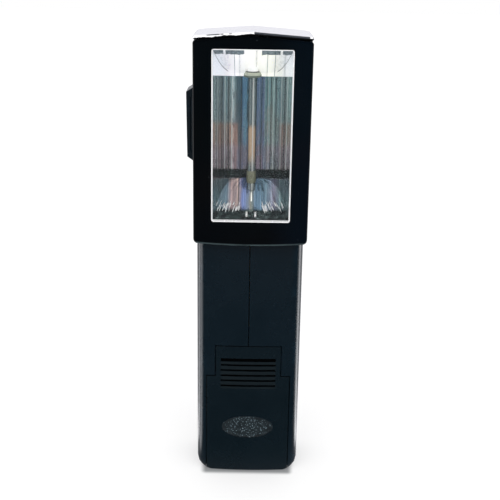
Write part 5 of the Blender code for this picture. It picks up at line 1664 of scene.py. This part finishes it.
@dataclass
class Handle:
    """The handle's shell halves and its battery door, in millimetres."""

    half: float = 19.6
    front: float = -12.5
    crown: float = 0.6
    corner: float = 4.5
    foot: float = 4.6
    door_half: float = 16.0
    tongue_half: float = 12.5
    door_low: float = 0.5
    door_step: float = 41.2
    door_top: float = 53.7
    door_back: float = -10.5
    door_edge: float = 0.3
    door_edge_shade_band: float = 0.22
    edge_gaps: Spot = (0.06, 0.15, 0.3)
    grip_half: float = 10.5
    grip_low: float = 36.0
    grip_top: float = 48.4
    grip_pitch: float = 2.15
    grip_groove: float = 0.9
    grip_reach: Point = (0.62, 0.34)
    grip_gaps: tuple[float, ...] = (0.08, 0.0, -0.08, -0.16)
    grip_depth: float = 0.7
    grip_count: int = 6
    oval: Spot = (9.9, 4.6, 19.6)
    oval_rows: Point = (14.6, 24.6)
    oval_depth: float = 0.3
    lip_inner: float = 14.5
    lip_levels: Point = (0.7, 41.0)
    lip_back: float = -8.0
    lip_web: Point = (15.9, -10.6)
    lip_hook: Point = (16.8, -8.9)
    catch_half: float = 4.0
    catch_root: tuple[Point, Point] = ((-10.6, -9.75), (49.7, 53.6))
    catch_tip: tuple[Point, Point] = ((-9.8, -8.9), (51.7, 55.7))
    seam: float = 0.42
    seam_over: float = 0.4

    def surface(self, x: float, z: float) -> float:
        """Depth of the handle's front at a place.

        Args:
            x: Place across.
            z: Level.

        Returns:
            The depth, which is the place's y.
        """
        narrow = 1.0
        if z < self.foot:
            lean = math.sqrt(max(0.0, self.foot**2 - (self.foot - z) ** 2))
            narrow = 1 - (self.foot - lean) / self.half
        across = abs(x) / narrow
        straight = self.half - self.corner
        if across <= straight:
            return self.front + self.crown * (across / straight) ** 2
        over = min(across - straight, self.corner * 0.98)
        return self.front + self.crown + self.corner - math.sqrt(self.corner**2 - over**2)

    def edge_distance(self, x: float, z: float) -> float:
        """Distance from a place on the door to the nearest of its edges.

        Args:
            x: Place across.
            z: Level.

        Returns:
            The distance.
        """
        x = abs(x)
        if x > self.tongue_half:
            return min(self.door_half - x, self.door_step - z, z - self.door_low)
        near = min(self.door_top - z, z - self.door_low)
        if z > self.door_step:
            return min(near, self.tongue_half - x)
        notch = math.hypot(self.tongue_half - x, self.door_step - z) + 0.15
        return min(near, self.door_half - x, notch)

    def grooves(self) -> list[Point]:
        """Level and half height of each grip groove, from the top one down."""
        first = self.grip_top - self.grip_groove / 2
        return [(first - index * self.grip_pitch, self.grip_reach[min(index, 1)])
                for index in range(self.grip_count)]

    def oval_share(self, x: float, z: float) -> float:
        """0 in the middle of the thumb oval, 1 on its edge."""
        half_wide, half_tall, level = self.oval
        return math.hypot(x / half_wide, (z - level) / half_tall)

    def recess(self, x: float, z: float) -> float:
        """How deep the grooves and the oval are at a place.

        Args:
            x: Place across.
            z: Level.

        Returns:
            The depth below the door's surface.
        """
        deep = 0.0
        for middle, reach in self.grooves():
            inside = min(reach - abs(z - middle), self.grip_half - abs(x))
            if inside > -0.08:
                deep = max(deep, self.grip_depth * smooth_step(inside, -0.08, 0.16))
        share = self.oval_share(x, z)
        if share < 1.06:
            wide = noise.noise(Vector((x * 1.3, z * 1.3, 3.0))) * 0.05
            fine = noise.noise(Vector((x * 4.0, z * 4.0, 9.0))) * 0.03
            deep = max(deep, smooth_step(1.0 - share, -0.015, 0.055) * (self.oval_depth + (wide + fine)))
        return deep

    def door_slot(self, x: float, z: float) -> DoorSlot:
        """Material slot of a place on the door.

        Args:
            x: Place across.
            z: Level.

        Returns:
            The slot.
        """
        if self.oval_share(x, z) < 1.0:
            return DoorSlot.OVAL
        # painted shade: the door's edges and grooves take the near-black finish
        if self.edge_distance(x, z) < self.door_edge_shade_band and z > self.door_low + 0.5:
            return DoorSlot.GROOVE
        if abs(x) >= self.grip_half:
            return DoorSlot.PLAIN
        if any(abs(z - middle) < reach for middle, reach in self.grooves()):
            return DoorSlot.GROOVE
        low = self.grip_top - self.grip_pitch * self.grip_count + 0.6
        return DoorSlot.GRIP if low < z < self.grip_top + 0.1 else DoorSlot.PLAIN

    def door_columns(self) -> list[float]:
        """Upright lines of the door's sheet.

        Returns:
            Their places, from left to right.
        """
        sides = [edge - gap for edge in (self.door_half, self.tongue_half) for gap in self.edge_gaps]
        sides += [self.tongue_half] + [self.grip_half + gap for gap in self.grip_gaps]
        whole = spaced(-self.door_half, self.door_half, 0.32) + sides + [-side for side in sides]
        return sorted({round(x, 3) for x in whole})

    def door_rows(self) -> list[float]:
        """Level lines of the door's sheet, finer in the oval and in the grip.

        Returns:
            Their levels, from the lower edge up.
        """
        low, high = self.oval_rows
        levels = spaced(self.door_low, low, 0.8) + spaced(low, high, 0.25) + spaced(high, self.grip_low, 0.8)
        levels += spaced(self.grip_low, self.door_top, 0.4) + [self.door_step]
        levels += [self.door_low + gap for gap in self.edge_gaps]
        levels += [top - gap for top in (self.door_step, self.door_top) for gap in self.edge_gaps]
        levels += [middle + sign * (reach + gap) for middle, reach in self.grooves()
                   for sign in (-1, 1) for gap in self.grip_gaps]
        rows: list[float] = []
        for level in sorted({round(level, 3) for level in levels}):
            if not rows or level - rows[-1] > 0.035:
                rows.append(level)
        return rows

    def door_depth(self, x: float, z: float) -> float:
        """Depth of the door's front at a place, its edges eased.

        Args:
            x: Place across.
            z: Level.

        Returns:
            The depth, which is the place's y.
        """
        y = self.surface(x, z) + self.recess(x, z)
        gap, ease = self.edge_distance(x, z), self.door_edge
        if gap < ease and z > self.door_low + 1.0:
            y += ease - math.sqrt(max(0.0, ease**2 - (ease - gap) ** 2))
        return y

    def door(self) -> None:
        """Battery door: one fine sheet with grooves and oval, drawn back to its thickness, with its lips."""
        columns, rows = self.door_columns(), self.door_rows()
        mesh = Mesh()
        spots: dict[tuple[int, int], bmesh.types.BMVert] = {}
        for j, z in enumerate(rows):
            for i, x in enumerate(columns):
                if abs(x) <= self.tongue_half + 0.001 or z <= self.door_step + 0.001:
                    spots[i, j] = mesh.loop([(x, self.door_depth(x, z), z)])[0]
        for j, (low, high) in enumerate(zip(rows, rows[1:])):
            for i, (left, right) in enumerate(zip(columns, columns[1:])):
                corners = [(i, j), (i + 1, j), (i + 1, j + 1), (i, j + 1)]
                if all(corner in spots for corner in corners):
                    slot = self.door_slot((left + right) / 2, (low + high) / 2)
                    mesh.face([spots[corner] for corner in corners], slot.value)
        rim = [edge for edge in mesh.bm.edges if edge.is_boundary]
        grown = bmesh.ops.extrude_edge_only(mesh.bm, edges=rim)["geom"]
        for item in grown:
            if isinstance(item, bmesh.types.BMVert):
                item.co.y = self.door_back * MM
        back = [item for item in grown if isinstance(item, bmesh.types.BMEdge) and item.is_boundary]
        bmesh.ops.contextual_create(mesh.bm, geom=back)
        self.lips(mesh)
        piece = mesh.piece("door_panel", ["satin_door", "satin_grip", "scuffed_oval", "groove_painted_shade"])
        piece.data.shade_smooth()
        piece.data.set_sharp_from_angle(angle=math.radians(48))
        settle(piece, "door", "satin_door", "battery_door")

    def lips(self, mesh: Mesh) -> None:
        """Hooked lips along both sides of the door and the catch behind its tongue.

        Args:
            mesh: The door's mesh.
        """
        low, high = self.lip_levels
        for side in (-1, 1):
            for outer, front in (self.lip_web, self.lip_hook):
                left, right = sorted((side * self.lip_inner, side * outer))
                mesh.block((left, front, low), (right, self.lip_back, high), DoorSlot.GROOVE.value)
        for (front, back), (low, high) in (self.catch_root, self.catch_tip):
            mesh.block((-self.catch_half, front, low), (self.catch_half, back, high))

    def flecks(self) -> None:
        """Pale flecks rubbed into the thumb oval."""
        half_wide, half_tall, level = self.oval
        circle = arc((0.0, 0.0), 1.0, 0, 360, 40)[:-1]
        mesh = Mesh()
        rows = []
        for share in (0.04, 0.35, 0.65, 0.93):
            spots = [(u * half_wide * share, v * half_tall * share + level) for u, v in circle]
            rows.append(mesh.loop([(x, self.surface(x, z) + self.recess(x, z) - 0.03, z) for x, z in spots]))
        for near, far in zip(rows, rows[1:]):
            mesh.bridge(near, far)
        Strewn("oval_flecks", "door", "scuff_pale", density=1.3, small=(0.05, 0.05, 0.03),
               large=(0.27, 0.21, 0.06), slope=90.0, lean=0.0, wobble=0.0, seed=21).lay(mesh)

    def beside_door(self, spot: Vector) -> bool:
        """Whether a place of a shell lies in the seam round the door.

        Args:
            spot: The place in metres.

        Returns:
            Whether it does.
        """
        x, y, z = abs(spot.x) / MM, spot.y / MM, spot.z / MM
        near, over = self.seam, self.seam_over
        upright = (abs(x - self.door_half) < near and z < self.door_step + over) or (
            abs(x - self.tongue_half) < near and self.door_step - over < z < self.door_top + over)
        level = (abs(z - self.door_top) < near and x < self.tongue_half + over) or (
            abs(z - self.door_step) < near and self.tongue_half - over < x < self.door_half + over)
        return y < -3.0 and (upright or level)

    def shells(self) -> None:
        """Both halves of the housing with eased edges, with painted shade in the seam round the door."""
        for side in ("left", "right"):
            piece = own_copy(f"housing_{side}", f"shell_{side}", "satin_shell", 0.14, 50.0)
            piece.data.materials.append(PALETTE["groove_painted_shade"])
            verts = piece.data.vertices
            for polygon in piece.data.polygons:
                if all(self.beside_door(verts[index].co) for index in polygon.vertices):
                    polygon.material_index = 1
            settle(piece, "body", "satin_shell", f"housing_{side}")

    def build(self) -> None:
        """Make the handle's pieces."""
        self.shells()
        self.door()
        self.flecks()


@dataclass
class Fittings:
    """The connector arm, the controls on the back and the lamp, each an eased copy of its node."""

    copies: tuple[tuple[str, str, str, str, float], ...] = (
        ("connector_arm", "arm_body", "arm", "satin_arm", 0.16),
        ("contact_blade", "arm_blade", "arm", "steel_tinned", 0.08),
        ("test_button", "button_cap", "button", "gloss_button", 0.2),
        ("power_switch_knob", "knob_cap", "knob", "satin_arm", 0.12),
        ("rear_plate", "back_plate", "body", "plate_anodised", 0.12),
        ("ready_lamp_window", "lamp_jewel", "body", "amber_clear", 0.15),
    )

    def build(self) -> None:
        """Make an eased copy of each fitting."""
        for node, name, body, finish, width in self.copies:
            settle(own_copy(node, name, finish, width), body, finish, node)


@dataclass
class Inside:
    """The CAD nodes that keep their shape and get a better material."""

    finishes: tuple[tuple[str, tuple[str, ...]], ...] = (
        ("steel_tinned", ("housing_screw_rear_low", "housing_screw_rear_middle", "housing_screw_rear_high",
                          "housing_screw_front", "tube_lead_upper", "tube_lead_lower", "contact_upper_left",
                          "contact_upper_right", "contact_bridge_lower", "test_contact_leaf",
                          "arm_hinge_pin", "arm_friction_washer")),
        ("grey_moulded", ("battery_cradle", "power_switch_body")),
        ("sleeve_blue", ("battery_cell_left", "battery_cell_right", "storage_capacitor")),
        ("board_brown", ("circuit_board",)),
        ("ferrite_dark", ("transformer_core", "rectifier_diode", "oscillator_transistor")),
        ("tape_yellow", ("transformer_winding", "trigger_coil")),
        ("lamp_clear", ("neon_lamp",)),
    )

    def build(self) -> None:
        """Give each node its material."""
        for finish, nodes in self.finishes:
            for node in nodes:
                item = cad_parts[node]
                for slot in item.material_slots:
                    slot.material = PALETTE[finish]
                LOG.info("%s: %s", node, finish)


# ----------------------------------------------------------------- surroundings

@dataclass
class Studio:
    """Floor, sky and camera, in metres."""

    camera_place: Spot = (0.0, -0.3289, 0.1950)
    pitch: float = 18.0
    roll: float = 0.9
    focal_px: float = 910.0
    frame_px: int = 500
    sensor_mm: float = 36.0
    side_glow: float = 26.0
    low_glow: float = 5.4
    key_glow: float = 2.1
    floor_half_mm: float = 3000.0
    foot_plan: Point = (0.0158, 0.0124)

    def sky(self) -> None:
        """White with a soft key light; reflections see it dark in front with bright strips at the sides."""
        world = bpy.data.worlds.new("studio")
        world.use_nodes = True
        bpy.context.scene.world = world
        shade = Shade(world.node_tree, "ShaderNodeOutputWorld")
        x, y, z = shade.split(shade.node("ShaderNodeTexCoord", out="Generated"))
        turn = y / (x * x + y * y + 0.0001).math("SQRT")
        strip = self.strips(turn, x) * z.step(0.80, 0.60) * (abs(x) > 0.2) * (shade.ray("Ray Depth") < 1.5)
        back = shade.mix(z.step(0.10, 0.45), (0.84, 0.84, 0.89), WHITE)
        room = shade.mix(turn.step(-0.22, -0.42), back, (0.012, 0.024, 0.034))
        room = shade.mix(strip, room, (self.side_glow, self.side_glow, self.side_glow * 1.02))
        key = (-1.0 * y).step(0.25, 0.70) * z.step(-0.05, 0.25)
        soft = shade.mix(key * (1.0 - shade.ray("Is Camera Ray")), WHITE, (self.key_glow,) * 3)
        colour = shade.mix(shade.ray("Is Glossy Ray"), soft, room)
        shade.surface(shade.node("ShaderNodeBackground", {}, {"Color": colour, "Strength": 1.0}))

    @staticmethod
    def strips(turn: Term, x: Term) -> Term:
        """Where the side lights stand: a wide one on the left, a narrower one on the right.

        Args:
            turn: Share of a direction that points away from the camera.
            x: Its place across.

        Returns:
            1 in the strips, 0 elsewhere.
        """
        left = turn.step(-0.36, -0.31) * abs(turn).step(0.07, 0.12)
        right = turn.step(-0.08, -0.02)
        return (left * (x < 0.0) * 0.8 + right * (x > 0.0)) * turn.step(0.42, 0.35)

    def mirrored(self, shade: Shade) -> Term:
        """The floor as reflections see it: dim streaks in front, a grey ground, and two bright strips.

        Args:
            shade: The floor's tree.

        Returns:
            The colour.
        """
        x, y, _ = shade.axes()
        away, depth = x.beside(y), shade.ray("Ray Depth")
        band = shade.noise(1.0, 2.0, shade.stretched((16.0, 0.6, 1.0)), 0.6)
        patch = shade.noise(1.0, 2.0, shade.stretched((7.0, 4.0, 1.0), (0.4, 0.0, 0.0)))
        dim = shade.ramp(band, [
            (0.32, (0.040, 0.070, 0.080)), (0.41, (0.150, 0.210, 0.215)), (0.46, (0.055, 0.085, 0.105)),
            (0.50, (0.085, 0.170, 0.280)), (0.54, (0.300, 0.380, 0.380)), (0.58, (0.090, 0.130, 0.150)),
            (0.63, (0.180, 0.300, 0.290)), (0.70, (0.420, 0.460, 0.460))])
        warm = y.step(-0.80, -0.76) * patch.step(0.44, 0.54)
        dim = shade.mix(warm * 0.75, dim, (0.330, 0.205, 0.170))
        low = y.step(-0.66, -0.60) * patch.step(0.60, 0.48)
        dim = shade.mix(low * 0.6, dim, (0.170, 0.150, 0.200))
        dim = shade.mix(y.step(-0.34, -0.24), dim, (0.020, 0.030, 0.038))
        seen = shade.mix((depth > 1.5) * away.step(0.40, 0.30), dim, WHITE)
        seen = shade.mix(y.step(0.02, -0.03), (0.70, 0.70, 0.73), seen)
        strip = self.strips(y / (away + 0.0001), x) * (depth < 1.5) * away.step(0.030, 0.040)
        return shade.mix(strip, seen, (self.low_glow, self.low_glow, self.low_glow * 1.02))

    def paint_floor(self, shade: Shade) -> None:
        """Pale ground with a painted soft shadow where the flash stands on it.

        Args:
            shade: The floor's tree.
        """
        x, y, _ = shade.axes()
        aside = (abs(x) - self.foot_plan[0]).at_least(0.0)
        ahead = (abs(y) - self.foot_plan[1]).at_least(0.0)
        touch = aside.beside(ahead).step(0.0030, 0.0002) * 0.75
        shadow = (0.10, 0.11, 0.12)
        tone = shade.mix(touch, (0.93, 0.93, 0.935), shadow)
        glow = shade.mix(touch, (1.05, 1.05, 1.05), shadow)
        plain = shade.node("ShaderNodeBsdfDiffuse", {}, {"Color": tone})
        white = shade.node("ShaderNodeEmission", {}, {"Color": glow, "Strength": 1.0})
        mirror = shade.node("ShaderNodeEmission", {}, {"Color": self.mirrored(shade), "Strength": 1.0})
        camera, glossy = shade.ray("Is Camera Ray"), shade.ray("Is Glossy Ray")
        lit = shade.node("ShaderNodeMixShader", {}, {0: camera * 0.42, 1: plain, 2: white})
        shade.surface(shade.node("ShaderNodeMixShader", {}, {0: glossy, 1: lit, 2: mirror}))

    def floor(self) -> None:
        """Pale floor that keeps the soft shadow and goes dark in front in reflections."""
        half = self.floor_half_mm
        mesh = Mesh()
        mesh.face(mesh.loop([(-half, -half, 0.0), (half, -half, 0.0), (half, half, 0.0), (-half, half, 0.0)]))
        floor = mesh.piece("floor", [], turn_out=False)
        material = bpy.data.materials.new("floor_pale")
        material.use_nodes = True
        self.paint_floor(Shade(material.node_tree))
        floor.data.materials.append(material)

    def camera(self) -> None:
        """Camera at the photograph's place."""
        data = bpy.data.cameras.new("camera")
        data.sensor_width = self.sensor_mm
        data.lens = self.focal_px / self.frame_px * self.sensor_mm
        data.clip_start = 0.01
        item = placed("camera", data)
        tilt = Matrix.Rotation(math.radians(90 - self.pitch), 4, "X")
        roll = Matrix.Rotation(math.radians(self.roll), 4, "Z")
        item.matrix_world = Matrix.Translation(self.camera_place) @ tilt @ roll
        bpy.context.scene.camera = item

    def build(self) -> None:
        """Set up floor, sky, camera and view."""
        self.sky()
        self.floor()
        self.camera()
        bpy.context.scene.view_settings.view_transform = "Standard"


def main() -> None:
    """Build every sub-assembly and its surroundings."""
    Studio().build()
    for part in (Head(), Light(), Handle(), Fittings(), Inside()):
        LOG.info("-- %s", type(part).__name__)
        part.build()


if __name__ == "__main__":
    main()
